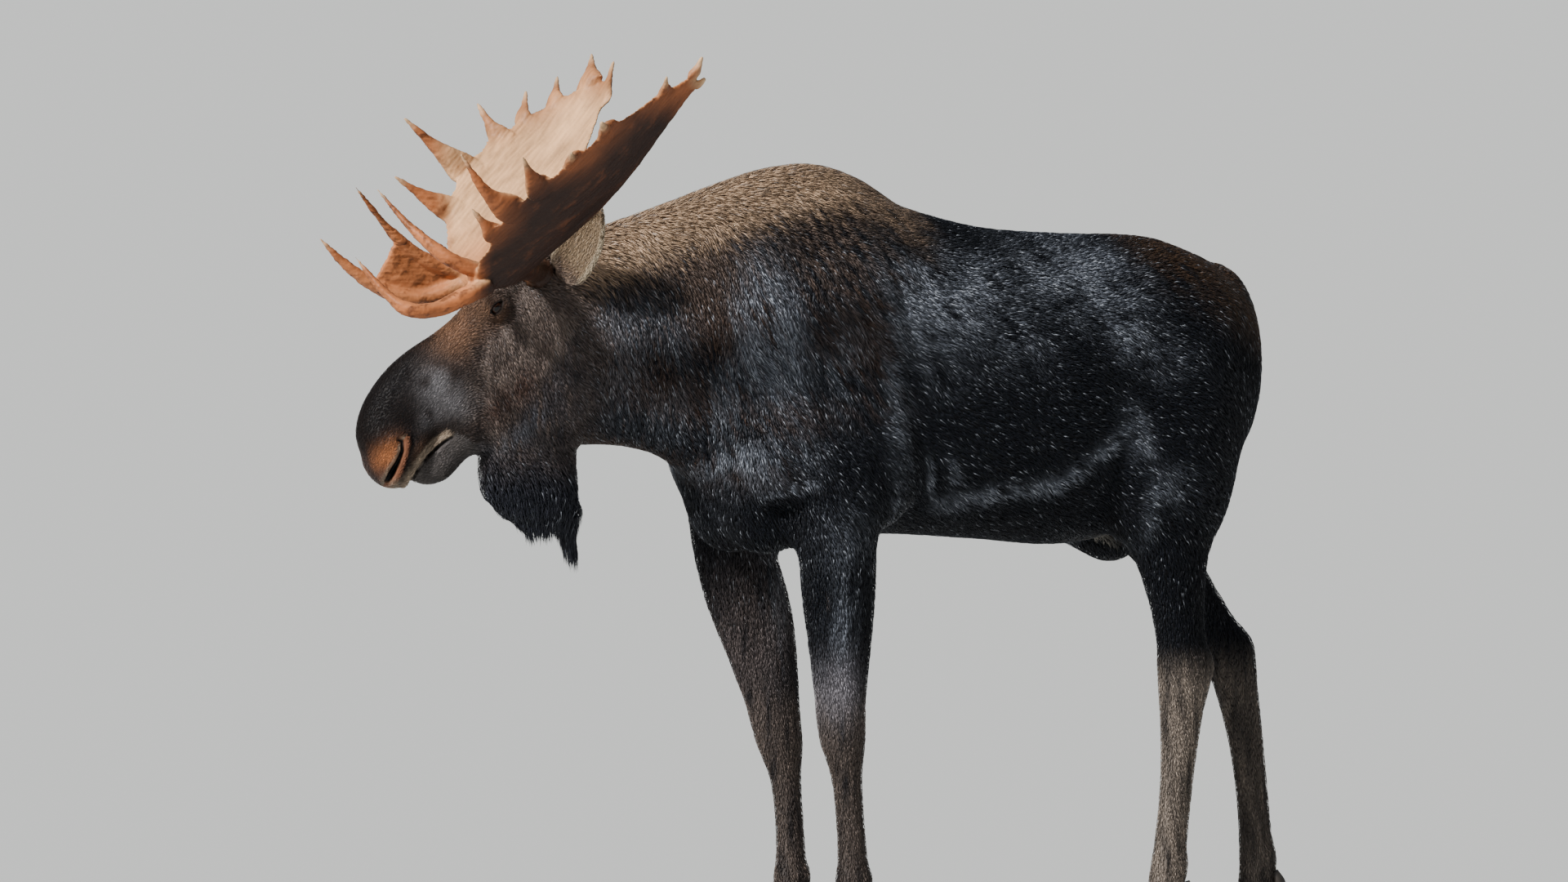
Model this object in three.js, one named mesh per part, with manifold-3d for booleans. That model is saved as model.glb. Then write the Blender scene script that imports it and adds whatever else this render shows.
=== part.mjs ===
// A bull moose, life size, standing still with its head low, as a museum shows one.
// Millimetres, +Z up.  The animal faces -X and its left side is -Y.
import * as THREE from "three";
import { mergeVertices } from "three/addons/utils/BufferGeometryUtils.js";
import Module from "manifold-3d";

const wasm = await Module();
wasm.setup();

// ---------------------------------------------------------------- driving sizes
const GAP = 0.4; // open joint between two touching pieces
const BODY_SIDES = 24;
const HEAD_SIDES = 18;
const LEG_SIDES = 10;
const POLL = [-705, 90, 1637]; // origin of the head's own frame
const HEAD_YAW = 17; // degrees the head turns to the animal's right
const HEAD_PITCH = 58; // degrees the face drops below level
const EYE_RADIUS = 19;
const LEG_CUT = { fore: 935, hind: 985 }; // heights where the legs leave the trunk
const HOOF = { length: 128, width: 54, heel: 52, toe: 86, spread: 3 };

// Trunk and neck, front to back: top line, under line, half width, height of the widest
// place, sideways drift of the middle.
const BARREL = [
  { x: -880, top: 1395, low: 1216, half: 62, wide: 1300, y: 128 },
  { x: -800, top: 1545, low: 1206, half: 84, wide: 1350, y: 114 },
  { x: -700, top: 1680, low: 1214, half: 108, wide: 1430, y: 94 },
  { x: -600, top: 1736, low: 1220, half: 124, wide: 1465, y: 72 },
  { x: -500, top: 1770, low: 1214, half: 136, wide: 1475, y: 50 },
  { x: -400, top: 1804, low: 1182, half: 152, wide: 1460, y: 30 },
  { x: -290, top: 1843, low: 1095, half: 176, wide: 1430, y: 12 },
  { x: -160, top: 1880, low: 1020, half: 198, wide: 1390, y: 0 },
  { x: -30, top: 1890, low: 1000, half: 214, wide: 1360, y: 0 },
  { x: 90, top: 1855, low: 998, half: 228, wide: 1340, y: 0 },
  { x: 210, top: 1780, low: 994, half: 246, wide: 1330, y: 0 },
  { x: 420, top: 1724, low: 978, half: 268, wide: 1320, y: 0 },
  { x: 650, top: 1704, low: 962, half: 268, wide: 1330, y: 0 },
  { x: 880, top: 1692, low: 1010, half: 226, wide: 1370, y: 0 },
  { x: 1000, top: 1655, low: 1085, half: 186, wide: 1400, y: 0 },
  { x: 1060, top: 1628, low: 1150, half: 160, wide: 1410, y: 0 },
];
const BARREL_UPPER = 2; // roundness above the widest place
const BARREL_LOWER = 2.2; // roundness below it
const RUMP_ROUND = 95; // radius of the rounded ends of the barrel

// Muscles that swell out of the trunk on each side: centre, half sizes, lean (degrees).
const MUSCLES = [
  { name: "shoulder blade", fore: true, at: [-40, 150, 1440], size: [165, 98, 290], lean: 20 },
  { name: "point of shoulder", fore: true, at: [-188, 138, 1215], size: [120, 105, 150], lean: 0 },
  { name: "breast", fore: true, at: [-182, 62, 1092], size: [118, 98, 134], lean: 0 },
  { name: "triceps", fore: true, at: [20, 168, 1200], size: [130, 95, 190], lean: -15 },
  { name: "elbow", fore: true, at: [-66, 168, 1082], size: [112, 100, 160], lean: 0 },
  { name: "haunch", at: [900, 108, 1400], size: [205, 142, 250], lean: -12 },
  { name: "thigh", at: [876, 145, 1170], size: [170, 112, 262], lean: 0 },
  { name: "stifle", at: [775, 172, 1085], size: [85, 80, 120], lean: 0 },
  { name: "buttock", at: [992, 84, 1300], size: [118, 102, 280], lean: 8 },
];
const MUSCLE_BLEND = 60;
const STRIDE = 26; // how far the right shoulder is carried ahead of the left

// Legs: joints from the top down, and along them (0 top, 1 knee or hock, 2 fetlock,
// 3 coronet) half depth, half breadth and how far the limb stands back of its line.
const FORE_GIRTH = [
  { t: 0, deep: 104, broad: 80, back: 0 },
  { t: 0.25, deep: 100, broad: 72, back: 0 },
  { t: 0.45, deep: 94, broad: 64, back: 0 },
  { t: 0.62, deep: 84, broad: 56, back: 0 },
  { t: 0.8, deep: 73, broad: 51, back: -2 },
  { t: 0.92, deep: 65, broad: 52, back: -3 },
  { t: 1, deep: 62, broad: 54, back: -4 },
  { t: 1.15, deep: 57, broad: 48, back: -3 },
  { t: 1.32, deep: 41, broad: 35, back: 0 },
  { t: 1.5, deep: 36, broad: 31, back: 0 },
  { t: 1.85, deep: 38, broad: 34, back: 0 },
  { t: 2, deep: 46, broad: 42, back: 4 },
  { t: 2.5, deep: 42, broad: 40, back: 0 },
  { t: 3, deep: 54, broad: 50, back: 0 },
];
// The right forelimb takes more of the weight: its forearm bulges.
const BULGE = [
  { t: 0, grow: 1.16 },
  { t: 0.5, grow: 1.18 },
  { t: 0.8, grow: 1.12 },
  { t: 1, grow: 1.04 },
  { t: 1.3, grow: 1 },
  { t: 3, grow: 1 },
];
const HIND_GIRTH = [
  { t: 0, deep: 126, broad: 80, back: 0 },
  { t: 0.25, deep: 106, broad: 76, back: 0 },
  { t: 0.55, deep: 76, broad: 56, back: 0 },
  { t: 0.8, deep: 66, broad: 44, back: 4 },
  { t: 0.93, deep: 76, broad: 48, back: 13 },
  { t: 1.05, deep: 68, broad: 48, back: 8 },
  { t: 1.2, deep: 55, broad: 42, back: 2 },
  { t: 1.5, deep: 43, broad: 34, back: 0 },
  { t: 1.85, deep: 42, broad: 35, back: 0 },
  { t: 2, deep: 47, broad: 42, back: 4 },
  { t: 2.5, deep: 42, broad: 40, back: 0 },
  { t: 3, deep: 54, broad: 50, back: 0 },
];
const LEGS = {
  foreleg_left: {
    kind: "fore",
    joints: [[-60, -178, 1060], [-30, -152, 585], [10, -132, 190], [-50, -134, 34]],
  },
  foreleg_right: {
    kind: "fore",
    bulge: true,
    joints: [[-166, 178, 1060], [-34, 152, 562], [-6, 132, 188], [-66, 134, 34]],
  },
  hindleg_left: {
    kind: "hind",
    joints: [[850, -160, 1080], [900, -152, 648], [872, -138, 196], [810, -140, 34]],
  },
  hindleg_right: {
    kind: "hind",
    joints: [[900, 160, 1080], [1200, 152, 684], [1282, 138, 196], [1224, 140, 34]],
  },
};

// Head, poll to muzzle: distance along the face, top line, under line, half width.
const SKULL = [
  { a: -70, top: 30, low: -150, half: 78 },
  { a: 0, top: 68, low: -165, half: 92 },
  { a: 70, top: 96, low: -165, half: 100 },
  { a: 140, top: 112, low: -150, half: 98 },
  { a: 220, top: 128, low: -122, half: 84 },
  { a: 300, top: 158, low: -92, half: 68 },
  { a: 380, top: 184, low: -60, half: 60 },
  { a: 440, top: 192, low: -20, half: 60 },
  { a: 500, top: 190, low: 6, half: 64 },
  { a: 560, top: 166, low: 14, half: 66 },
  { a: 604, top: 118, low: 22, half: 52 },
];
const FACE = [
  { name: "muzzle", at: [530, 88, 0], size: [92, 74, 78], lean: 0 },
  { name: "nose tip", at: [598, 66, 0], size: [36, 46, 46], lean: 0 },
  { name: "nose bridge", at: [430, 126, 0], size: [150, 70, 62], lean: -8 },
  { name: "brow ridge", at: [118, 84, 66], size: [62, 40, 44], lean: 0, pair: true },
  { name: "cheek", at: [150, -40, 52], size: [150, 80, 50], lean: 0, pair: true },
];
const JAW = [
  { from: [90, -95, 46], to: [420, -52, 26], thick: [52, 34], pair: true },
  { from: [420, -46, 0], to: [520, -26, 0], thick: [44, 42], pair: false },
  { from: [500, -14, 0], to: [548, -8, 0], thick: [40, 34], pair: false },
];
const FACE_BLEND = 28;
const MOUTH = { corner: [447, -6], lip: [640, 34] };

const EYE = [139, 66, 93]; // along the face, up from it, out to the side
const EAR = {
  root: [-22, 104, -16],
  tip: [-80, 258, 150],
  width: 64,
  thick: 7,
  cup: 26,
};
const BELL = [
  { at: [-735, 96, 1275], deep: 120, broad: 62 },
  { at: [-742, 98, 1190], deep: 122, broad: 62 },
  { at: [-736, 98, 1115], deep: 118, broad: 58 },
  { at: [-714, 98, 1060], deep: 104, broad: 50 },
  { at: [-694, 98, 1018], deep: 78, broad: 40 },
  { at: [-646, 98, 984], deep: 42, broad: 26 },
  { at: [-616, 98, 930], deep: 20, broad: 14 },
];
const TAIL = { root: [1122, 0, 1520], tip: [1176, 0, 1412] };

// Antlers, in forward, outward, up of the poll.  The palm is a cupped sheet between a
// smooth inner edge and an outer edge that carries the points.
const ANTLER_LEFT = {
  side: 1,
  beam: [[18, 62, -2], [34, 92, 0], [44, 112, 3], [90, 180, 8], [150, 250, -4], [205, 302, -14]],
  inner: [
    [118, 238, -12], [16, 290, 73], [-50, 330, 141],
    [-109, 375, 214], [-172, 420, 306], [-256, 492, 446],
  ],
  outer: [
    [230, 312, -12], [230, 420, 103], [188, 490, 179],
    [90, 544, 262], [-50, 568, 374], [-250, 522, 476],
  ],
  points: [
    { at: 0.21, tip: [268, 440, 161], girth: 13, sag: 2 },
    { at: 0.36, tip: [306, 500, 289], girth: 18, sag: 22 },
    { at: 0.5, tip: [176, 580, 287], girth: 17, sag: 8 },
    { at: 0.64, tip: [64, 600, 297], girth: 14 },
    { at: 0.76, tip: [-3, 620, 366], girth: 16 },
    { at: 0.92, tip: [-164, 600, 472], girth: 12 },
    { at: 1, tip: [-262, 542, 516], girth: 13 },
    { at: 1, inner: true, tip: [-274, 520, 464], girth: 11 },
  ],
  brow: {
    low: [
      [196, 300, -22], [262, 316, -52], [330, 330, -78],
      [394, 328, -78], [448, 300, -35], [508, 260, 45],
    ],
    high: [[200, 300, 6], [266, 306, 26], [322, 292, 62], [381, 250, 121], [436, 180, 198]],
    girth: [30, 27, 24, 21, 14, 2.5],
    web: 0.16,
  },
};
const ANTLER_RIGHT = {
  side: -1,
  beam: [[18, 62, -2], [34, 92, 0], [42, 112, 0], [66, 180, -10], [94, 240, -24], [124, 286, -34]],
  inner: [
    [66, 222, -26], [-4, 268, 62], [-63, 300, 118],
    [-148, 360, 200], [-199, 402, 275], [-256, 474, 382],
  ],
  outer: [
    [140, 300, -14], [168, 376, 70], [142, 448, 172],
    [68, 506, 266], [-72, 560, 348], [-262, 534, 436],
  ],
  points: [
    { at: 0.33, tip: [269, 400, 208], girth: 17 },
    { at: 0.52, tip: [233, 460, 344], girth: 19 },
    { at: 0.7, tip: [31, 572, 374], girth: 13 },
    { at: 0.79, tip: [-95, 604, 401], girth: 12 },
    { at: 0.88, tip: [-174, 616, 434], girth: 13 },
    { at: 0.97, tip: [-255, 604, 488], girth: 19 },
    { at: 1, inner: true, tip: [-293, 540, 471], girth: 13 },
  ],
  brow: {
    low: [
      [120, 284, -44], [178, 290, -64], [240, 296, -76],
      [320, 294, -56], [405, 282, -2], [481, 260, 69],
    ],
    high: [[122, 284, -18], [180, 282, -6], [240, 268, 26], [314, 236, 84], [419, 160, 197]],
    girth: [27, 26, 26, 22, 15, 2.5],
    web: 0.66,
  },
};
const PALM = { root: 30, inner: 20, outer: 11, cup: 26, scallop: 0.055 };
const CUP_WAY = [-0.72, 0.42, -0.55]; // the hollow side faces forward, up and in
const SPLIT_WAY = [-0.75, 0, 0.66]; // the joint between palm and brow branch

// ---------------------------------------------------------------- small tools
const DEG = Math.PI / 180;

function mix(a, b, t) {
  return a.map((v, i) => v + (b[i] - v) * t);
}

// A smooth value along a list of stations, tangents from the neighbours.
function along(stations, key, name) {
  const xs = stations.map((s) => s[key]);
  const ys = stations.map((s) => s[name]);
  const last = xs.length - 1;
  const slope = xs.map((_, i) => {
    const lo = Math.max(0, i - 1);
    const hi = Math.min(last, i + 1);
    return (ys[hi] - ys[lo]) / (xs[hi] - xs[lo]);
  });
  return (x) => {
    if (x <= xs[0]) return ys[0] + slope[0] * (x - xs[0]);
    if (x >= xs[last]) return ys[last] + slope[last] * (x - xs[last]);
    let i = 0;
    while (x > xs[i + 1]) i += 1;
    const w = xs[i + 1] - xs[i];
    const t = (x - xs[i]) / w;
    const t2 = t * t;
    const t3 = t2 * t;
    return (
      ys[i] * (2 * t3 - 3 * t2 + 1) +
      slope[i] * w * (t3 - 2 * t2 + t) +
      ys[i + 1] * (3 * t2 - 2 * t3) +
      slope[i + 1] * w * (t3 - t2)
    );
  };
}

// A smooth path through points, read by t from 0 to 1 or by point number.
function path(points) {
  const stations = points.map((p, i) => ({ i, x: p[0], y: p[1], z: p[2] }));
  const read = ["x", "y", "z"].map((k) => along(stations, "i", k));
  return (i) => read.map((f) => f(i));
}

// The middle of a ring of points.
function mean(ring) {
  return [0, 1, 2].map((k) => ring.reduce((s, p) => s + p[k], 0) / ring.length);
}

// Eases from 0 to 1.
function rise(t) {
  const u = Math.min(1, Math.max(0, t));
  return u * u * (3 - 2 * u);
}

// Soft union of two distances.
function blend(a, b, k) {
  const h = Math.max(k - Math.abs(a - b), 0) / k;
  return Math.min(a, b) - h * h * k * 0.25;
}

// Distance to an egg: half sizes, leaned about the sideways axis.
function egg(p, at, size, lean) {
  const c = Math.cos(lean * DEG);
  const s = Math.sin(lean * DEG);
  const u = p[0] - at[0];
  const w = p[2] - at[2];
  const q = [u * c - w * s, p[1] - at[1], u * s + w * c];
  const k0 = Math.hypot(q[0] / size[0], q[1] / size[1], q[2] / size[2]);
  const k1 = Math.hypot(q[0] / size[0] ** 2, q[1] / size[1] ** 2, q[2] / size[2] ** 2);
  return k1 < 1e-9 ? -Math.min(...size) : (k0 * (k0 - 1)) / k1;
}

// Distance to a rounded bar that tapers.
function bar(p, from, to, thick) {
  const d = to.map((v, i) => v - from[i]);
  const q = p.map((v, i) => v - from[i]);
  const dd = d[0] ** 2 + d[1] ** 2 + d[2] ** 2;
  const t = Math.min(1, Math.max(0, (q[0] * d[0] + q[1] * d[1] + q[2] * d[2]) / dd));
  const r = thick[0] + (thick[1] - thick[0]) * t;
  return Math.hypot(q[0] - d[0] * t, q[1] - d[1] * t, q[2] - d[2] * t) - r;
}

// A closed mesh from rings of equal count, ends closed on a point.
function rings(list, start, end) {
  const n = list[0].length;
  const pos = [start, ...list.flat(), end];
  const at = (r, i) => 1 + r * n + (i % n);
  const faces = [];
  for (let i = 0; i < n; i += 1) faces.push(0, at(0, i + 1), at(0, i));
  for (let r = 0; r + 1 < list.length; r += 1) {
    for (let i = 0; i < n; i += 1) {
      faces.push(at(r, i), at(r, i + 1), at(r + 1, i + 1));
      faces.push(at(r, i), at(r + 1, i + 1), at(r + 1, i));
    }
  }
  const tail = pos.length - 1;
  const r = list.length - 1;
  for (let i = 0; i < n; i += 1) faces.push(tail, at(r, i), at(r, i + 1));
  return solid(pos, faces);
}

function solid(pos, faces) {
  let geometry = new THREE.BufferGeometry();
  geometry.setAttribute("position", new THREE.Float32BufferAttribute(pos.flat(), 3));
  geometry.setIndex(faces);
  geometry = mergeVertices(geometry, 1e-3);
  const make = (index) =>
    new wasm.Manifold(
      new wasm.Mesh({
        numProp: 3,
        vertProperties: geometry.attributes.position.array,
        triVerts: index,
      }),
    );
  const index = new Uint32Array(geometry.index.array);
  const made = make(index);
  if (made.volume() > 0) return made;
  for (let i = 0; i < index.length; i += 3) {
    [index[i + 1], index[i + 2]] = [index[i + 2], index[i + 1]];
  }
  return make(index);
}

// A box from its eight corners, listed by x, then y, then z.
function hull(c) {
  const quads = [[0, 1, 3, 2], [4, 6, 7, 5], [0, 4, 5, 1], [2, 3, 7, 6], [0, 2, 6, 4], [1, 5, 7, 3]];
  return solid(c, quads.flatMap(([a, b, d, e]) => [a, b, d, a, d, e]));
}

// Walks out from an inside point until the distance turns positive.
function cast(field, from, dir, reach) {
  const step = 12;
  const point = (t) => from.map((v, i) => v + dir[i] * t);
  let hi = step;
  while (hi < reach && field(point(hi)) < 0) hi += step;
  let lo = hi - step;
  for (let k = 0; k < 18; k += 1) {
    const mid = (lo + hi) / 2;
    if (field(point(mid)) < 0) lo = mid;
    else hi = mid;
  }
  return point(hi);
}

// Keeps the side of a plane its normal points to.
function keep(shape, normal, point) {
  const n = new THREE.Vector3(...normal).normalize();
  return shape.trimByPlane(n.toArray(), n.dot(new THREE.Vector3(...point)));
}

function ellipsePoints(n, deep, broad) {
  const out = [];
  for (let i = 0; i < n; i += 1) {
    const th = (i / n) * 2 * Math.PI;
    out.push([deep * Math.cos(th), broad * Math.sin(th)]);
  }
  return out;
}

// ---------------------------------------------------------------- head frame
const YAW = HEAD_YAW * DEG;
const FORWARD = [-Math.cos(YAW), Math.sin(YAW), 0];
const LEFT = [-Math.sin(YAW), -Math.cos(YAW), 0];
const PITCH = HEAD_PITCH * DEG;

// From forward, left and up of the poll.
function fromPoll(f, l, h) {
  return [0, 1, 2].map((i) => POLL[i] + FORWARD[i] * f + LEFT[i] * l + (i === 2 ? h : 0));
}

// From along the face, up off the face, and left.
function fromFace(a, n, l) {
  const f = a * Math.cos(PITCH) + n * Math.sin(PITCH);
  const h = -a * Math.sin(PITCH) + n * Math.cos(PITCH);
  return fromPoll(f, l, h);
}

function toFace(p) {
  const d = p.map((v, i) => v - POLL[i]);
  const f = d[0] * FORWARD[0] + d[1] * FORWARD[1];
  const l = d[0] * LEFT[0] + d[1] * LEFT[1];
  return [
    f * Math.cos(PITCH) - d[2] * Math.sin(PITCH),
    f * Math.sin(PITCH) + d[2] * Math.cos(PITCH),
    l,
  ];
}

// ---------------------------------------------------------------- trunk and neck
const barrel = {};
for (const k of ["top", "low", "half", "wide", "y"]) barrel[k] = along(BARREL, "x", k);
const BARREL_ENDS = [BARREL[0].x, BARREL.at(-1).x];

function barrelField(p) {
  const x = Math.min(BARREL_ENDS[1], Math.max(BARREL_ENDS[0], p[0]));
  const wide = barrel.wide(x);
  const up = p[2] > wide;
  const tall = up ? barrel.top(x) - wide : wide - barrel.low(x);
  const e = up ? BARREL_UPPER : BARREL_LOWER;
  const half = barrel.half(x);
  const dy = Math.abs(p[1] - barrel.y(x)) / half;
  const dz = Math.abs(p[2] - wide) / tall;
  const flat = ((dy ** e + dz ** e) ** (1 / e) - 1) * Math.min(half, tall);
  const over = Math.max(p[0] - BARREL_ENDS[1], BARREL_ENDS[0] - p[0]);
  if (over <= 0) return flat;
  return Math.hypot(Math.max(flat + RUMP_ROUND, 0), over) - RUMP_ROUND;
}

function bodyField(p) {
  let d = barrelField(p);
  const low = 1 - rise((p[2] - 1150) / 350);
  const ahead = STRIDE * rise((p[1] + 80) / 160) * low;
  for (const m of MUSCLES) {
    const q = [p[0] + (m.fore ? ahead : 0), Math.abs(p[1]), p[2]];
    d = blend(d, egg(q, m.at, m.size, m.lean), MUSCLE_BLEND);
  }
  return d;
}

// Ring angles, closer together over the narrow back and belly.
function spread(i) {
  const th = (i / BODY_SIDES) * 2 * Math.PI;
  return th + 0.18 * Math.sin(2 * th);
}

// Trunk and neck as one run of rings about a line through the middle.
function bodySolid(grow = 0) {
  const field = (p) => bodyField(p) - grow;
  const xs = [];
  for (let x = -868; x < -400; x += 78) xs.push(x);
  for (let x = -400; x < 900; x += 88) xs.push(x);
  for (const x of [912, 970, 1020, 1060, 1094, 1116]) xs.push(x);
  const middle = (x) => {
    const z = x < -560 ? 1445 + (x + 560) * 0.4 : 1440;
    return [x, barrel.y(x), z];
  };
  const list = xs.map((x) => {
    const ring = [];
    for (let i = 0; i < BODY_SIDES; i += 1) {
      const th = spread(i);
      ring.push(cast(field, middle(x), [0, Math.cos(th), Math.sin(th)], 700));
    }
    return ring;
  });
  const start = cast(field, middle(-840), [-1, 0, 0], 200);
  const end = cast(field, middle(1080), [1, 0, 0], 400);
  return rings(list, start, end);
}

// ---------------------------------------------------------------- head
const skull = {};
for (const k of ["top", "low", "half"]) skull[k] = along(SKULL, "a", k);
const SKULL_ENDS = [SKULL[0].a, SKULL.at(-1).a];

function skullField(q) {
  const a = Math.min(SKULL_ENDS[1], Math.max(SKULL_ENDS[0], q[0]));
  const mid = (skull.top(a) + skull.low(a)) / 2;
  const tall = (skull.top(a) - skull.low(a)) / 2;
  const half = skull.half(a);
  const flat = (Math.hypot((q[1] - mid) / tall, q[2] / half) - 1) * Math.min(half, tall);
  const over = Math.max(q[0] - SKULL_ENDS[1], SKULL_ENDS[0] - q[0]);
  return over > 0 ? Math.hypot(Math.max(flat, 0), over) : flat;
}

// The face frame keeps up in the middle place, so eggs there swap the last two.
function headField(q) {
  let d = skullField(q);
  for (const m of FACE) {
    const side = m.pair ? Math.abs(q[2]) : q[2];
    const turned = [m.at[0], m.at[2], m.at[1]];
    const size = [m.size[0], m.size[2], m.size[1]];
    d = blend(d, egg([q[0], side, q[1]], turned, size, m.lean), FACE_BLEND);
  }
  for (const m of JAW) {
    const side = m.pair ? Math.abs(q[2]) : q[2];
    d = blend(d, bar([q[0], q[1], side], m.from, m.to, m.thick), FACE_BLEND);
  }
  return d;
}

function headSolid(grow = 0) {
  const field = (q) => headField(q) - grow;
  const stations = [];
  for (let a = -60; a < 400; a += 44) stations.push(a);
  for (const a of [416, 448, 480, 512, 542, 570, 594, 612, 624]) stations.push(a);
  const middle = (a) => (a < 380 ? -10 + a * 0.1 : 28 + (a - 380) * 0.24);
  const list = stations.map((a) => {
    const ring = [];
    for (let i = 0; i < HEAD_SIDES; i += 1) {
      const th = (i / HEAD_SIDES) * 2 * Math.PI;
      const dir = [0, Math.cos(th), Math.sin(th)];
      ring.push(cast(field, [a, middle(a), 0], dir, 320));
    }
    return ring;
  });
  const start = [-64, middle(-60), 0];
  const end = cast(field, [560, middle(560), 0], [1, 0, 0], 200);
  const place = (q) => fromFace(...q);
  return rings(list.map((ring) => ring.map(place)), place(start), place(end));
}

function eyeball(centre, radius) {
  const list = [];
  for (const tilt of [-60, -30, 0, 30, 60]) {
    const flat = radius * Math.cos(tilt * DEG);
    const ring = ellipsePoints(8, flat, flat);
    const z = centre[2] + radius * Math.sin(tilt * DEG);
    list.push(ring.map(([u, v]) => [centre[0] + u, centre[1] + v, z]));
  }
  const pole = (way) => [centre[0], centre[1], centre[2] + way * radius];
  return rings(list, pole(-1), pole(1));
}

// ---------------------------------------------------------------- legs
function legRings(leg, grow) {
  const girth = leg.kind === "fore" ? FORE_GIRTH : HIND_GIRTH;
  const line = path(leg.joints);
  const deep = along(girth, "t", "deep");
  const broad = along(girth, "t", "broad");
  const back = along(girth, "t", "back");
  const swell = along(BULGE, "t", "grow");
  const steps = [0, 0.3, 0.6, 0.8, 0.92, 1, 1.13, 1.3, 1.5, 1.82, 2, 2.2, 2.6, 3];
  return steps.map((t) => {
    const c = line(t);
    c[0] += back(t);
    const wider = leg.bulge ? swell(t) : 1;
    const section = ellipsePoints(LEG_SIDES, deep(t) * wider + grow, broad(t) + grow);
    return section.map(([u, v]) => [c[0] + u, c[1] + v, c[2]]);
  });
}

function legSolid(leg, grow = 0) {
  const list = legRings(leg, grow);
  return rings(list, mean(list[0]), mean(list.at(-1)));
}

// The slanted plane where horn meets hair, through the coronet joint.
function coronet(leg) {
  const c = leg.joints[3];
  const slant = (HOOF.toe - HOOF.heel) / (HOOF.length * 0.62);
  return { point: [c[0] + 14, c[1], (HOOF.toe + HOOF.heel) / 2], normal: [slant, 0, 1] };
}

// One claw of the hoof: a flat pointed sole, walls leaning in to the coronet.
function claw(leg, side) {
  const c = leg.joints[3];
  const levels = [
    { z: 0, grow: 1, back: 0 },
    { z: 12, grow: 0.99, back: 2 },
    { z: 100, grow: 0.84, back: 22 },
  ];
  const outline = [];
  const n = 10;
  for (let i = 0; i < n; i += 1) {
    const th = (i / n) * 2 * Math.PI;
    const u = Math.cos(th);
    const nose = u < 0 ? HOOF.length * 0.6 : HOOF.length * 0.4;
    const narrow = u < 0 ? 1 - 0.45 * u * u : 1 - 0.12 * u * u;
    const v = Math.sin(th) * (HOOF.width / 2) * narrow;
    outline.push([u * nose + 8, v - side * u * 7]);
  }
  const list = levels.map(({ z, grow, back }) =>
    outline.map(([u, v]) => {
      const y = c[1] + side * (HOOF.width / 2 + HOOF.spread) + v * grow;
      return [c[0] + u * grow + back, y, z];
    }),
  );
  return rings(list, mean(list[0]), mean(list.at(-1)));
}

function dewclaw(leg, side) {
  const f = leg.joints[2];
  const top = [f[0] + 38, f[1] + side * 24, f[2] - 34];
  const tip = [f[0] + 58, f[1] + side * 30, f[2] - 88];
  return tube([top, mix(top, tip, 0.6), tip], [17, 14, 5], 5);
}

// A tube of round rings along points.
function tube(points, radii, sides, flat = 1, flatDir = null) {
  const list = points.map((p, i) => {
    const a = new THREE.Vector3(...points[Math.max(0, i - 1)]);
    const b = new THREE.Vector3(...points[Math.min(points.length - 1, i + 1)]);
    const along3 = b.sub(a).normalize();
    const hint = flatDir ? new THREE.Vector3(...flatDir) : new THREE.Vector3(0.31, 0.17, 0.94);
    const u = hint.clone().cross(along3).normalize();
    const v = along3.clone().cross(u);
    const ring = [];
    for (let k = 0; k < sides; k += 1) {
      const th = (k / sides) * 2 * Math.PI;
      const cu = Math.cos(th) * radii[i];
      const cv = Math.sin(th) * radii[i] * flat;
      ring.push([0, 1, 2].map((j) => p[j] + u.getComponent(j) * cu + v.getComponent(j) * cv));
    }
    return ring;
  });
  return rings(list, points[0], points.at(-1));
}

// ---------------------------------------------------------------- ears, bell, tail
function earSolid(side) {
  const root = EAR.root;
  const tip = EAR.tip;
  const axis = new THREE.Vector3(...tip).sub(new THREE.Vector3(...root)).normalize();
  const open = new THREE.Vector3(0.62, 0.55, -0.2);
  open.addScaledVector(axis, -open.dot(axis)).normalize();
  const across = axis.clone().cross(open).normalize();
  const shape = [
    [0, 0.8],
    [0.12, 0.94],
    [0.28, 1],
    [0.45, 1],
    [0.62, 0.94],
    [0.78, 0.7],
    [0.9, 0.4],
    [0.98, 0.12],
  ];
  const list = shape.map(([s, w]) => {
    const c = mix(root, tip, s);
    const half = EAR.width * w;
    const cup = EAR.cup * Math.sqrt(w) * (s < 0.1 ? 0.8 : 1);
    const thick = EAR.thick * (1.6 - s);
    const ring = [];
    for (let i = 0; i <= 6; i += 1) {
      const u = -1 + i / 3;
      ring.push([u * half, -cup * (1 - u * u) - thick / 2]);
    }
    for (let i = 1; i <= 5; i += 1) {
      const u = 1 - i / 3;
      ring.push([u * half * 0.9, -cup * (1 - u * u) + thick / 2]);
    }
    return ring.map(([u, v]) => {
      const q = [0, 1, 2].map((k) => c[k] + across.getComponent(k) * u + open.getComponent(k) * v);
      return fromPoll(q[0], side * q[1], q[2]);
    });
  });
  const place = (q) => fromPoll(q[0], side * q[1], q[2]);
  return rings(list, mean(list[0]), place(tip));
}

function bellSolid() {
  const line = path(BELL.map((b) => b.at));
  const stations = BELL.map((b, i) => ({ i, deep: b.deep, broad: b.broad }));
  const deep = along(stations, "i", "deep");
  const broad = along(stations, "i", "broad");
  const list = [];
  for (let t = 0; t <= BELL.length - 1; t += 1) {
    const c = line(t);
    const ring = ellipsePoints(10, deep(t), broad(t)).map(([u, v]) => {
      const turned = [c[0] + u * Math.cos(YAW), c[1] - u * Math.sin(YAW) + v];
      return [...turned, c[2]];
    });
    list.push(ring);
  }
  return rings(list, mean(list[0]), mix(mean(list.at(-1)), [-600, 98, 900], 0.25));
}

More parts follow.
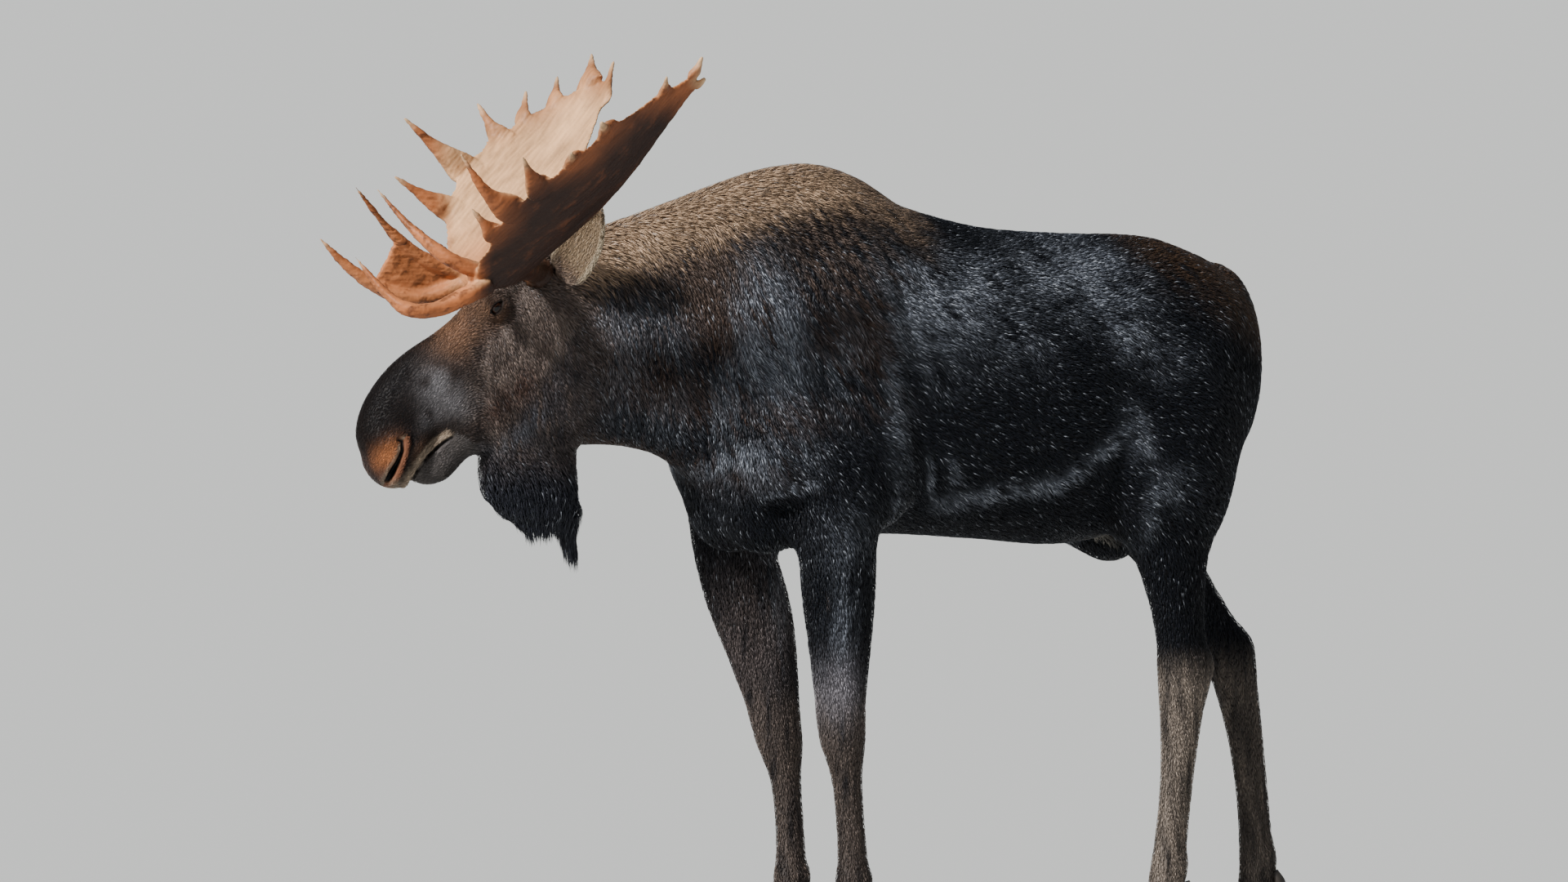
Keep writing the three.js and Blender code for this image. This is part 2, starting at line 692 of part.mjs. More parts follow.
function tailSolid() {
  const mid = mix(TAIL.root, TAIL.tip, 0.5);
  mid[0] += 14;
  const start = [TAIL.root[0] - 40, 0, TAIL.root[2] + 24];
  const near = mix(mid, TAIL.tip, 0.7);
  return tube([start, TAIL.root, mid, near, TAIL.tip], [28, 30, 27, 19, 6], 8);
}

// ---------------------------------------------------------------- antlers
function place(antler, q) {
  return fromPoll(q[0], antler.side * q[1], q[2]);
}

function pathAt(points, t) {
  return path(points)(t * (points.length - 1));
}

// The sheet between the two edges: t runs base to end, w inner edge to outer edge.
function palmPoint(antler, t, w) {
  const a = pathAt(antler.inner, t);
  const b = pathAt(antler.outer, t);
  const swell = PALM.cup * 4 * w * (1 - w) * Math.sin(Math.PI * Math.min(1, t * 0.8 + 0.2));
  return mix(a, b, w).map((v, i) => v + CUP_WAY[i] * swell);
}

// Outer edge drawn in between neighbouring points.
function palmReach(antler, t) {
  const places = antler.points.filter((p) => !p.inner).map((p) => p.at);
  let lo = 0.08;
  for (const at of places) {
    if (t <= at) {
      const u = (t - lo) / (at - lo);
      return t < lo ? 1 : 1 - PALM.scallop * Math.sin(Math.PI * u);
    }
    lo = at;
  }
  return 1;
}

function palmSolid(antler) {
  const list = [];
  const steps = 13;
  for (let i = 0; i <= steps; i += 1) {
    const t = i / steps;
    const reach = palmReach(antler, t);
    const fade = 1 - 0.35 * t;
    const ring = [];
    const add = (w, half) => {
      const p = palmPoint(antler, t, w * reach);
      ring.push(place(antler, p.map((v, k) => v - CUP_WAY[k] * half)));
    };
    const half = (w) => {
      const body = PALM.inner + (PALM.outer - PALM.inner) * w;
      return ((body + (PALM.root - body) * Math.max(0, 1 - t * 5)) / 2) * fade;
    };
    add(0, 0);
    for (const w of [0.08, 0.5, 0.92]) add(w, half(w));
    add(1, 0);
    for (const w of [0.92, 0.5, 0.08]) add(w, -half(w));
    list.push(ring);
  }
  let made = rings(list, mean(list[0]), mean(list.at(-1)));
  for (const p of antler.points) {
    const w = p.inner ? 0.12 : 0.93;
    const root = palmPoint(antler, Math.min(p.at, 0.985), p.inner ? 0.3 : 0.8);
    const neck = palmPoint(antler, Math.min(p.at, 0.995), w);
    const mid = mix(neck, p.tip, 0.5);
    mid[2] -= p.sag ?? 4;
    const line = [root, neck, mid, p.tip].map((q) => place(antler, q));
    const g = p.girth;
    const thin = place(antler, CUP_WAY).map((v, k) => v - place(antler, [0, 0, 0])[k]);
    made = made.add(tube(line, [g * 1.5, g * 1.45, g * 0.62, 1.6], 5, 0.6, thin));
  }
  return made;
}

function beamSolid(antler, grow = 0) {
  const line = antler.beam.map((q) => place(antler, q));
  const girth = [26, 36, 28, 26, 28, 24].map((r) => r + grow);
  return tube(line, girth, 8);
}

function browSolid(antler) {
  const { low, high, girth, web } = antler.brow;
  const lower = tube(low.map((q) => place(antler, q)), girth, 6, 0.75);
  const upperGirth = [girth[0] * 0.8, girth[1] * 0.9, girth[2] * 0.85, girth[3] * 0.6, 2.5];
  const upper = tube(high.map((q) => place(antler, q)), upperGirth, 6, 0.75);
  const list = [];
  for (let i = 0; i <= 4; i += 1) {
    const t = (i / 4) * web;
    const a = pathAt(low, t);
    const b = pathAt(high, t * 1.05);
    const half = 8 * (1 - (0.4 * i) / 4);
    const ring = [];
    const out = new THREE.Vector3(0.25, 1, 0.1).normalize();
    for (const w of [0.05, 0.5, 0.95]) {
      ring.push(place(antler, mix(a, b, w).map((v, k) => v + out.getComponent(k) * half)));
    }
    for (const w of [0.95, 0.5, 0.05]) {
      ring.push(place(antler, mix(a, b, w).map((v, k) => v - out.getComponent(k) * half)));
    }
    list.push(ring);
  }
  return lower.add(upper).add(rings(list, mean(list[0]), mean(list.at(-1))));
}

// ---------------------------------------------------------------- the nodes
const nodes = {};
const body = bodySolid();
const bodyGrown = bodySolid(GAP);
const headWhole = headSolid();
const headGrown = headSolid(GAP);

// The head leaves the neck on a plane behind the ears and jaw.
const nape = fromPoll(-50, 0, 30);
const backOfHead = [FORWARD[0] * 0.97, FORWARD[1] * 0.97, 0.24];
const step = (p, n, d) => {
  const v = new THREE.Vector3(...n).normalize();
  return [0, 1, 2].map((k) => p[k] + v.getComponent(k) * d);
};
const flip = (n) => n.map((v) => -v);
const neckBase = [-330, 12, 1480];
const neckWay = [-0.9, 0.1, 0.32];

const flesh = body.add(headWhole);
let head = keep(flesh, backOfHead, step(nape, backOfHead, GAP));
const behind = keep(flesh, flip(backOfHead), nape);
nodes.neck = keep(behind, neckWay, step(neckBase, neckWay, GAP));
let trunk = keep(behind, flip(neckWay), neckBase);

const legWhole = {};
for (const [name, leg] of Object.entries(LEGS)) {
  const cut = LEG_CUT[leg.kind];
  const whole = legSolid(leg);
  legWhole[name] = whole;
  trunk = trunk.add(keep(whole, [0, 0, 1], [0, 0, cut]));
}
nodes.trunk = trunk;
for (const [name, leg] of Object.entries(LEGS)) {
  const cut = LEG_CUT[leg.kind];
  const joint = leg.joints[1];
  const horn = coronet(leg);
  const below = keep(legWhole[name], [0, 0, -1], [0, 0, cut - GAP]).subtract(bodyGrown);
  const above = leg.kind === "fore" ? joint[2] - 40 : joint[2] - 50;
  nodes[`${name}_upper`] = keep(below, [0, 0, 1], [0, 0, above]);
  const lower = keep(below, [0, 0, -1], [0, 0, above - GAP]);
  nodes[`${name}_lower`] = keep(lower, horn.normal, step(horn.point, horn.normal, GAP));
  for (const side of [-1, 1]) {
    const where = side * Math.sign(leg.joints[3][1]) > 0 ? "outer" : "inner";
    const toe = keep(claw(leg, side), flip(horn.normal), horn.point);
    nodes[`${name}_hoof_${where}`] = toe;
    nodes[`${name}_dewclaw_${where}`] = dewclaw(leg, side).subtract(legSolid(leg, GAP));
  }
}

// The mouth: everything below its plane and ahead of its corner is the lower jaw.
const corner = fromFace(MOUTH.corner[0], MOUTH.corner[1], 0);
const lipRun = [MOUTH.lip[0] - MOUTH.corner[0], MOUTH.lip[1] - MOUTH.corner[1]];
const zero = fromFace(0, 0, 0);
const chinWay = fromFace(lipRun[1], -lipRun[0], 0).map((v, k) => v - zero[k]);
const jawWay = fromFace(1, -0.25, 0).map((v, k) => v - zero[k]);
const underMouth = keep(head, chinWay, step(corner, chinWay, GAP));
nodes.jaw = keep(underMouth, jawWay, step(corner, jawWay, GAP));
const ends = [-500, 500];
const corners = ends.flatMap((x) => ends.flatMap((y) => ends.map((z) => [x, y, z])));
const block = hull(corners.map((q) => q.map((v, k) => v + corner[k])));
head = head.subtract(keep(keep(block, chinWay, corner), jawWay, corner));

for (const side of [1, -1]) {
  const word = side > 0 ? "left" : "right";
  const c = fromFace(EYE[0], EYE[1], side * EYE[2]);
  nodes[`eye_${word}`] = eyeball(c, EYE_RADIUS);
  head = head.subtract(eyeball(c, EYE_RADIUS + GAP));
  const antler = side > 0 ? ANTLER_LEFT : ANTLER_RIGHT;
  const hub = place(antler, antler.beam.at(-1));
  const zeroPoint = place(antler, [0, 0, 0]);
  const away = place(antler, SPLIT_WAY).map((v, k) => v - zeroPoint[k]);
  const beamGrown = beamSolid(antler, GAP * 1.5);
  const palm = palmSolid(antler).subtract(beamGrown);
  const brow = browSolid(antler).subtract(beamGrown);
  nodes[`antler_${word}_beam`] = beamSolid(antler).subtract(headGrown).subtract(bodyGrown);
  nodes[`antler_${word}_palm`] = keep(palm, away, step(hub, away, GAP));
  nodes[`antler_${word}_brow`] = keep(brow, flip(away), hub);
  const ear = earSolid(side).subtract(headGrown).subtract(bodyGrown);
  nodes[`ear_${word}`] = ear.subtract(beamSolid(antler, GAP));
}
nodes.head = head;
nodes.bell = bellSolid().subtract(bodyGrown).subtract(headGrown);
nodes.tail = tailSolid().subtract(bodyGrown);

// ---------------------------------------------------------------- colours
const COATS = [
  ["head", "#241d1a", 0.85],
  ["jaw", "#241d1a", 0.85],
  ["neck", "#2c2420", 0.85],
  ["trunk", "#1a191b", 0.8],
  ["bell", "#141316", 0.85],
  ["tail", "#1d1917", 0.85],
  ["ear", "#a08d74", 0.9],
  ["eye", "#120c09", 0.1],
  ["antler", "#b9804f", 0.55],
  ["hoof", "#1e1a17", 0.45],
  ["dewclaw", "#1e1a17", 0.45],
  ["upper", "#1c1a1a", 0.8],
  ["lower", "#6b5f55", 0.85],
];

function finish(name) {
  const row = COATS.find(([word]) => name.includes(word));
  return new THREE.MeshStandardMaterial({ color: row[1], roughness: row[2], metalness: 0 });
}

const group = new THREE.Group();
group.name = "moose";
for (const [name, shape] of Object.entries(nodes)) {
  const data = shape.getMesh();
  const geometry = new THREE.BufferGeometry();
  geometry.setAttribute("position", new THREE.BufferAttribute(data.vertProperties, 3));
  geometry.setIndex(new THREE.BufferAttribute(data.triVerts, 1));
  const mesh = new THREE.Mesh(geometry, finish(name));
  mesh.name = name;
  group.add(mesh);
}

// The frame's origin is the middle of the footprint at the soles.
const box = new THREE.Box3().setFromObject(group);
const centre = box.getCenter(new THREE.Vector3());
group.position.set(-centre.x, -centre.y, -box.min.z);

export default group;
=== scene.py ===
# %% [markdown]
# # A bull moose, life size, standing with its head low
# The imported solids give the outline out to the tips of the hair. Here the same forms are
# written again as smooth distance fields, one skin is drawn a coat's depth inside them, and
# the hair, antlers, eyes and hooves are laid over it.

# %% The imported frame
import math
import time

import bmesh
import bpy
import numpy as np
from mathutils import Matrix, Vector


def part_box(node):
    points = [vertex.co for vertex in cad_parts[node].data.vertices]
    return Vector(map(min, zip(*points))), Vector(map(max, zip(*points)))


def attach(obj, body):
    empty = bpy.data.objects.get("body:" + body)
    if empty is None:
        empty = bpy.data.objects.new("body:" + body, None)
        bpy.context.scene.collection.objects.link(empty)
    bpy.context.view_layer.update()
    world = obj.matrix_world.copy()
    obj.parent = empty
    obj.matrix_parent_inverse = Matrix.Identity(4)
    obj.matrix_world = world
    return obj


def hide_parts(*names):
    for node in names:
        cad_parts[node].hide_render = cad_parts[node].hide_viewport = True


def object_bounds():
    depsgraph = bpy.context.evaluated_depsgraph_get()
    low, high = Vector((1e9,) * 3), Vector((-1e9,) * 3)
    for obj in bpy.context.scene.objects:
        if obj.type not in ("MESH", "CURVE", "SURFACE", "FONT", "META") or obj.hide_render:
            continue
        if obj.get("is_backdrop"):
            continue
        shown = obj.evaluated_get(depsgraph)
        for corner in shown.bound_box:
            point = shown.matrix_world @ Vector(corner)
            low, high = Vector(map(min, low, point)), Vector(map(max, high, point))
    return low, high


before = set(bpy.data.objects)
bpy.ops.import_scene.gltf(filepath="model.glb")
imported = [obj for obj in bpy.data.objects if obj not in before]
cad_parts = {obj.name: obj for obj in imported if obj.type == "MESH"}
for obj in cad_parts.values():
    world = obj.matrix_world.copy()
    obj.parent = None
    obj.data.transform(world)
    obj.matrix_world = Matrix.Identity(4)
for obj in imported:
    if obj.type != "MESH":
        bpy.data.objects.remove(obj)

import openvdb
from mathutils import Vector, noise

CAD_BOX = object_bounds()
STARTED = time.time()
rng = np.random.default_rng(20)
print("frame:", len(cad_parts), "nodes")

# %% [markdown]
# ## Sizes of the body
# Millimetres in the animal's own frame: it faces -X, its left side is -Y, the soles are at
# height 0. These rows are the driving sizes of the solids. The brow ridge, the ear, the low
# end of the bell, the tops of the forelegs and the inner edge of the palm are set a little
# apart from them, to leave room for the hair and for lids that can be carved.

# %% Body sizes
POLL = np.array([-705.0, 90.0, 1637.0])
YAW = math.radians(17)
PITCH = math.radians(58)
EYE = np.array([139.0, 66.0, 93.0])  # along the face, up from it, out to the side
EYE_RADIUS = 19

# x, top line, under line, half width, height of the widest place, sideways drift
BARREL = [
    (-880, 1395, 1216, 62, 1300, 128), (-800, 1545, 1206, 84, 1350, 114),
    (-700, 1680, 1214, 108, 1430, 94), (-600, 1736, 1220, 124, 1465, 72),
    (-500, 1770, 1214, 136, 1475, 50), (-400, 1804, 1182, 152, 1460, 30),
    (-290, 1843, 1095, 176, 1430, 12), (-160, 1880, 1020, 198, 1390, 0),
    (-30, 1890, 1000, 214, 1360, 0), (90, 1855, 998, 228, 1340, 0),
    (210, 1780, 994, 246, 1330, 0), (420, 1724, 978, 268, 1320, 0),
    (650, 1704, 962, 268, 1330, 0), (880, 1692, 1010, 226, 1370, 0),
    (1000, 1655, 1085, 186, 1400, 0), (1060, 1628, 1150, 160, 1410, 0),
]
ROUNDNESS_ABOVE = 2.0
ROUNDNESS_BELOW = 2.2
RUMP_ROUND = 95

# centre, half sizes, lean in degrees, and whether it moves with the shoulder
MUSCLES = [
    ((-40, 150, 1440), (165, 98, 290), 20, True),  # shoulder blade
    ((-188, 138, 1215), (120, 105, 150), 0, True),  # point of shoulder
    ((-182, 62, 1092), (118, 98, 134), 0, True),  # breast
    ((20, 168, 1200), (130, 95, 190), -15, True),  # triceps
    ((-66, 168, 1082), (112, 100, 160), 0, True),  # elbow
    ((900, 108, 1400), (205, 142, 250), -12, False),  # haunch
    ((876, 145, 1170), (170, 112, 262), 0, False),  # thigh
    ((775, 172, 1085), (85, 80, 120), 0, False),  # stifle
    ((992, 84, 1300), (118, 102, 280), 8, False),  # buttock
]
MUSCLE_BLEND = 60
STRIDE = 26

# place along the leg (0 top, 1 knee or hock, 2 fetlock, 3 coronet), half depth, half
# breadth, set back
FORE_GIRTH = [
    (0, 104, 80, 0), (0.25, 100, 72, 0), (0.45, 94, 64, 0), (0.62, 84, 56, 0), (0.8, 73, 51, -2),
    (0.92, 65, 52, -3), (1, 62, 54, -4), (1.15, 57, 48, -3), (1.32, 41, 35, 0), (1.5, 36, 31, 0),
    (1.85, 38, 34, 0), (2, 46, 42, 4), (2.5, 42, 40, 0), (3, 54, 50, 0),
]
# the right forelimb takes more of the weight: its forearm bulges
BULGE = [(0, 0.86), (0.25, 1.08), (0.5, 1.18), (0.8, 1.12), (1, 1.04), (1.3, 1), (3, 1)]
HIND_GIRTH = [
    (0, 126, 80, 0), (0.25, 106, 76, 0), (0.55, 76, 56, 0), (0.8, 66, 44, 4),
    (0.93, 76, 48, 13), (1.05, 68, 48, 8), (1.2, 55, 42, 2), (1.5, 43, 34, 0),
    (1.85, 42, 35, 0), (2, 47, 42, 4), (2.5, 42, 40, 0), (3, 54, 50, 0),
]
LEGS = {
    "foreleg_left": (
        FORE_GIRTH, [(-60, -178, 1060), (-30, -152, 585), (10, -132, 190), (-50, -134, 34)],
    ),
    "foreleg_right": (
        FORE_GIRTH, [(-166, 178, 1060), (-34, 152, 562), (-6, 132, 188), (-66, 134, 34)],
    ),
    "hindleg_left": (
        HIND_GIRTH, [(850, -160, 1080), (900, -152, 648), (872, -138, 196), (810, -140, 34)],
    ),
    "hindleg_right": (
        HIND_GIRTH, [(900, 160, 1080), (1200, 152, 684), (1282, 138, 196), (1224, 140, 34)],
    ),
}
HOOF = {"length": 128, "width": 54, "heel": 52, "toe": 86, "spread": 3}

# along the face, top line, under line, half width
SKULL = [
    (-70, 30, -150, 78), (0, 68, -165, 92), (70, 96, -165, 100), (140, 112, -150, 98),
    (220, 128, -122, 84), (300, 158, -92, 68), (380, 184, -60, 60), (440, 192, -20, 60),
    (500, 190, 6, 64), (560, 166, 14, 66), (604, 118, 22, 52),
]
# centre (along, up, out), half sizes, lean
FACE = [
    ((530, 88, 0), (92, 74, 78), 0),  # muzzle
    ((598, 66, 0), (36, 46, 46), 0),  # nose tip
    ((430, 126, 0), (150, 70, 62), -8),  # nose bridge
    ((112, 70, 56), (72, 34, 40), 0),  # brow ridge
    ((150, -40, 52), (150, 80, 50), 0),  # cheek
]
JAW = [
    ((90, -95, 46), (420, -52, 26), (52, 34)),
    ((420, -46, 0), (520, -26, 0), (44, 42)),
    ((500, -14, 0), (548, -8, 0), (40, 34)),
]
FACE_BLEND = 28

EAR = {"root": (-22, 104, -16), "tip": (-80, 258, 150), "width": 56, "thick": 8, "cup": 26}
EAR_OPENS = (0.62, 0.55, -0.2)
EAR_OUTLINE = [
    (0, 0.42), (0.05, 0.7), (0.12, 0.9), (0.28, 1), (0.45, 1),
    (0.62, 0.94), (0.78, 0.7), (0.9, 0.4), (0.98, 0.12),
]
BELL = [
    (-735, 96, 1275, 120, 62), (-742, 98, 1190, 122, 62), (-736, 98, 1115, 118, 58),
    (-718, 98, 1078, 100, 50), (-714, 98, 1056, 80, 42), (-712, 98, 1046, 56, 32),
]
TASSEL = ((-642, 98, 1060), (-620, 98, 976), (44, 21))
TAIL = [
    (1082, 0, 1544, 28), (1122, 0, 1520, 30), (1163, 0, 1466, 27),
    (1172, 0, 1428, 19), (1176, 0, 1412, 6),
]

# %% [markdown]
# ## Small tools
# A smooth curve through rows of numbers, soft unions of distances, and a soft ripple that
# stands in for natural irregularity.  Every distance is negative inside.

# %% Tools for shapes
def smooth_table(rows):
    """Reads a smooth curve through rows whose first value is the place along it."""
    rows = np.array(rows, float)
    key, values = rows[:, 0], rows[:, 1:]
    last = len(key) - 1
    before = np.maximum(np.arange(last + 1) - 1, 0)
    after = np.minimum(np.arange(last + 1) + 1, last)
    slope = (values[after] - values[before]) / (key[after] - key[before])[:, None]

    def read(x):
        x = np.asarray(x, float)
        inside = np.clip(x, key[0], key[-1])
        i = np.clip(np.searchsorted(key, inside, side="right") - 1, 0, last - 1)
        w = (key[i + 1] - key[i])[..., None]
        t = (inside - key[i])[..., None] / w
        curve = values[i] * (2 * t**3 - 3 * t**2 + 1) + slope[i] * w * (t**3 - 2 * t**2 + t)
        curve += values[i + 1] * (3 * t**2 - 2 * t**3) + slope[i + 1] * w * (t**3 - t**2)
        end = np.where(x < key[0], 0, last)
        return curve + slope[end] * (x - inside)[..., None]

    return read


def rise(t):
    """Eases from 0 to 1."""
    u = np.clip(t, 0, 1)
    return u * u * (3 - 2 * u)


def blend(a, b, k):
    """Soft union of two distances."""
    h = np.maximum(k - np.abs(a - b), 0) / k
    return np.minimum(a, b) - h * h * k * 0.25


def carve(a, b, k):
    """What is left of a once b is taken away, with a soft edge."""
    return -blend(-a, b, k)


def egg(q, size):
    """Distance to an egg about the origin."""
    size = np.array(size, float)
    near = np.linalg.norm(q / size, axis=1)
    far = np.linalg.norm(q / size**2, axis=1)
    return near * (near - 1) / np.maximum(far, 1e-6)


def oval(across, up, half, tall, power=2.0):
    """Distance to a rounded section, from places given as shares of its half sizes."""
    across, up = np.abs(across), np.abs(up)
    near = np.maximum((across**power + up**power) ** (1 / power), 1e-3)
    slope = np.hypot(across ** (power - 1) / half, up ** (power - 1) / tall) / near ** (power - 1)
    return (near - 1) / np.maximum(slope, 1e-6)


def leaned(q, degrees):
    """Points turned about the sideways axis, the middle column."""
    c, s = math.cos(math.radians(degrees)), math.sin(math.radians(degrees))
    return np.stack([q[:, 0] * c - q[:, 2] * s, q[:, 1], q[:, 0] * s + q[:, 2] * c], axis=1)


def bar(q, start, end, thick):
    """Distance to a rounded bar that tapers."""
    start, end = np.array(start, float), np.array(end, float)
    run = end - start
    t = np.clip((q - start) @ run / (run @ run), 0, 1)
    radius = thick[0] + (thick[1] - thick[0]) * t
    return np.linalg.norm(q - start - t[:, None] * run, axis=1) - radius


def way_along(points, x, z):
    """Distance in a side view to a line of points, and how far along it, 0 to 1."""
    points = np.array(points, float)
    best = np.full(len(x), 1e9)
    place = np.zeros(len(x))
    last = len(points) - 1
    for i in range(last):
        run = points[i + 1] - points[i]
        t = np.clip(((x - points[i][0]) * run[0] + (z - points[i][1]) * run[1]) / (run @ run), 0, 1)
        gap = np.hypot(x - points[i][0] - t * run[0], z - points[i][1] - t * run[1])
        place = np.where(gap < best, (i + t) / last, place)
        best = np.minimum(best, gap)
    return best, place


def ripple(p, size, seed):
    """A soft random value about 0, with lumps of the given size."""
    source = np.random.default_rng(seed)
    total = np.zeros(len(p))
    for _ in range(7):
        wave = source.normal(size=3)
        wave *= source.uniform(0.6, 1.5) * 2 * math.pi / (size * 2.2 * np.linalg.norm(wave))
        total += np.cos(p @ wave + source.uniform(0, 6.28))
    return total / 1.9


def unit(v):
    return v / np.maximum(np.linalg.norm(v, axis=-1, keepdims=True), 1e-9)


def spot(x, z, centre, size):
    """A soft round patch in a side view: 1 in its middle, easing to 0."""
    return np.exp(-(((x - centre[0]) / size[0]) ** 2) - ((z - centre[1]) / size[1]) ** 2)


# %% [markdown]
# ## The head's own frame
# The head is turned to the animal's right and tipped down, so its forms are written along
# the face, up off the face and out to the side.

# %% Head frame
FORWARD = np.array([-math.cos(YAW), math.sin(YAW), 0])
LEFT = np.array([-math.sin(YAW), -math.cos(YAW), 0])
UP = np.array([0.0, 0.0, 1.0])
ALONG_FACE = FORWARD * math.cos(PITCH) - UP * math.sin(PITCH)
OFF_FACE = FORWARD * math.sin(PITCH) + UP * math.cos(PITCH)
POLL_AXES = np.stack([FORWARD, LEFT, UP])
FACE_AXES = np.stack([ALONG_FACE, OFF_FACE, LEFT])


def to_face(p):
    return (p - POLL) @ FACE_AXES.T


def from_face(q):
    return POLL + np.asarray(q, float) @ FACE_AXES


def to_poll(p):
    return (p - POLL) @ POLL_AXES.T


def from_poll(q):
    return POLL + np.asarray(q, float) @ POLL_AXES


# The solids sit on the middle of their footprint: the left eye shows how far they moved.
eye_low, eye_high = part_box("eye_left")
EYE_IN_ROW = (np.array(eye_low) + np.array(eye_high)) * 500
SHIFT = EYE_IN_ROW - from_face(EYE)
print("moved to the row frame by", np.round(SHIFT, 1), "mm")


def to_row(p):
    """Millimetres in the animal's frame to metres in the row frame."""
    return (p + SHIFT) / 1000


# %% [markdown]
# ## Trunk, neck and legs
# The barrel is one run of rounded sections. Muscles swell out of it and blend in. Grooves
# behind the shoulder and along the flank fold are pressed in, as light shows them on the
# living animal.

# %% Trunk and leg fields
barrel_at = smooth_table(BARREL)
BARREL_START, BARREL_END = BARREL[0][0], BARREL[-1][0]
SHOULDER_GROOVE = [(40, 1800), (95, 1560), (118, 1330), (128, 1130)]
FLANK_FOLD = [(190, 1002), (408, 1026), (608, 1085), (735, 1180), (765, 1270)]
HAIR_OVER_HOOF = -12.0
# side-view place, half sizes and depth of hollows; a negative depth is a swelling
HOLLOWS = [
    ((640, 1530), (90, 80), 12),  # flank below the loin
    ((792, 1572), (58, 50), -12),  # point of the hip
    ((1010, 1500), (46, 60), -8),  # pin bone
    ((-250, 1330), (60, 110), 10),  # in front of the shoulder
    ((-120, 1610), (46, 120), 7),  # ahead of the blade's ridge
    ((700, 1330), (70, 150), 8),  # ahead of the thigh
    ((-205, 1112), (60, 22), -9),  # fold above the elbow pocket
    ((-199, 1068), (34, 22), 16),  # elbow pocket
]
NECK_FOLD = [(-560, 1480), (-430, 1390), (-340, 1290), (-310, 1210)]
CREASE = 24


def trunk(p):
    x = np.clip(p[:, 0], BARREL_START, BARREL_END)
    top, low, half, wide, drift = barrel_at(x).T
    above = p[:, 2] > wide
    tall = np.where(above, top - wide, wide - low)
    power = np.where(above, ROUNDNESS_ABOVE, ROUNDNESS_BELOW)
    flat = oval((p[:, 1] - drift) / half, (p[:, 2] - wide) / tall, half, tall, power)
    over = np.maximum(np.abs(p[:, 0] - x), 0)
    ends = np.hypot(np.maximum(flat + RUMP_ROUND, 0), over) - RUMP_ROUND
    d = np.where(over > 0, ends, flat)
    low_down = 1 - rise((p[:, 2] - 1150) / 350)
    ahead = STRIDE * rise((p[:, 1] + 80) / 160) * low_down
    across = np.hypot(p[:, 1], CREASE)
    for centre, size, lean, with_shoulder in MUSCLES:
        q = np.stack([p[:, 0] + (ahead if with_shoulder else 0), across, p[:, 2]], axis=1)
        d = blend(d, egg(leaned(q - centre, lean), size), MUSCLE_BLEND)
    outside = rise((np.abs(p[:, 1]) - 90) / 80)
    gap, place = way_along(SHOULDER_GROOVE, p[:, 0], p[:, 2])
    fades = 1 - 0.6 * rise(place * 3 - 2)
    d += 10 * np.exp(-((gap / 30) ** 2)) * rise(place * 4) * fades * outside
    gap, place = way_along(FLANK_FOLD, p[:, 0], p[:, 2])
    d -= 6 * np.exp(-((gap / 26) ** 2)) * np.sin(np.pi * np.clip(place, 0.02, 0.98)) * outside
    gap, place = way_along(NECK_FOLD, p[:, 0], p[:, 2])
    d += 8 * np.exp(-((gap / 26) ** 2)) * np.sin(np.pi * np.clip(place, 0, 1)) ** 2
    for (x, z), (wide, tall), depth in HOLLOWS:
        d += depth * np.exp(-(((p[:, 0] - x) / wide) ** 2) - ((p[:, 2] - z) / tall) ** 2) * outside
    return d


def leg_table(girth, joints, bulge=False):
    """Height, middle, half depth and half breadth of a leg, from the ground up."""
    t = np.linspace(0, 3, 121)
    middle = smooth_table([(i, *j) for i, j in enumerate(joints)])(t)
    deep, broad, back = smooth_table(girth)(t).T
    deep = deep * smooth_table(BULGE)(t)[:, 0] if bulge else deep
    rows = np.column_stack([middle[:, 2], middle[:, 0] + back, middle[:, 1], deep, broad])
    return rows[::-1]


LEG_TABLES = {name: leg_table(*leg, name == "foreleg_right") for name, leg in LEGS.items()}


def leg(p, name):
    rows = LEG_TABLES[name]
    z = np.clip(p[:, 2], rows[0, 0], rows[-1, 0])
    x, y, deep, broad = (np.interp(z, rows[:, 0], rows[:, k]) for k in (1, 2, 3, 4))
    u, v = (p[:, 0] - x) / deep, (p[:, 1] - y) / broad
    angle = np.arctan2(v, u)
    cannon = rise((520 - z) / 60) * rise((z - 190) / 60)
    waist = 1 - 0.13 * cannon * np.exp(-(((np.abs(angle) - 1.15) / 0.33) ** 2))
    d = oval(u / waist, v / waist, deep, broad)
    d = np.hypot(np.maximum(d, 0), p[:, 2] - z) + np.minimum(d, 0)
    coronet = LEGS[name][1][3]
    slant = unit(np.array([(HOOF["toe"] - HOOF["heel"]) / (HOOF["length"] * 0.62), 0, 1]))
    level = (HOOF["toe"] + HOOF["heel"]) / 2
    return np.maximum(d, HAIR_OVER_HOOF - (p - (coronet[0] + 14, coronet[1], level)) @ slant)


bell_at = smooth_table([(z, x, y, deep, broad) for x, y, z, deep, broad in BELL[::-1]])
BELL_END, BELL_START = BELL[-1][2], BELL[0][2]


def bell(p):
    z = np.clip(p[:, 2], BELL_END, BELL_START)
    x, y, deep, broad = bell_at(z).T
    u = (p[:, 0] - x) * math.cos(YAW) - (p[:, 1] - y) * math.sin(YAW)
    v = (p[:, 0] - x) * math.sin(YAW) + (p[:, 1] - y) * math.cos(YAW)
    d = oval(u / deep, v / broad, deep, broad)
    d = np.hypot(np.maximum(d, 0), p[:, 2] - z) + np.minimum(d, 0)
    return blend(d, bar(p, *TASSEL), 30)


def tail(p):
    d = np.full(len(p), 1e9)
    for a, b in zip(TAIL, TAIL[1:]):
        d = np.minimum(d, bar(p, a[:3], b[:3], (a[3], b[3])))
    return d


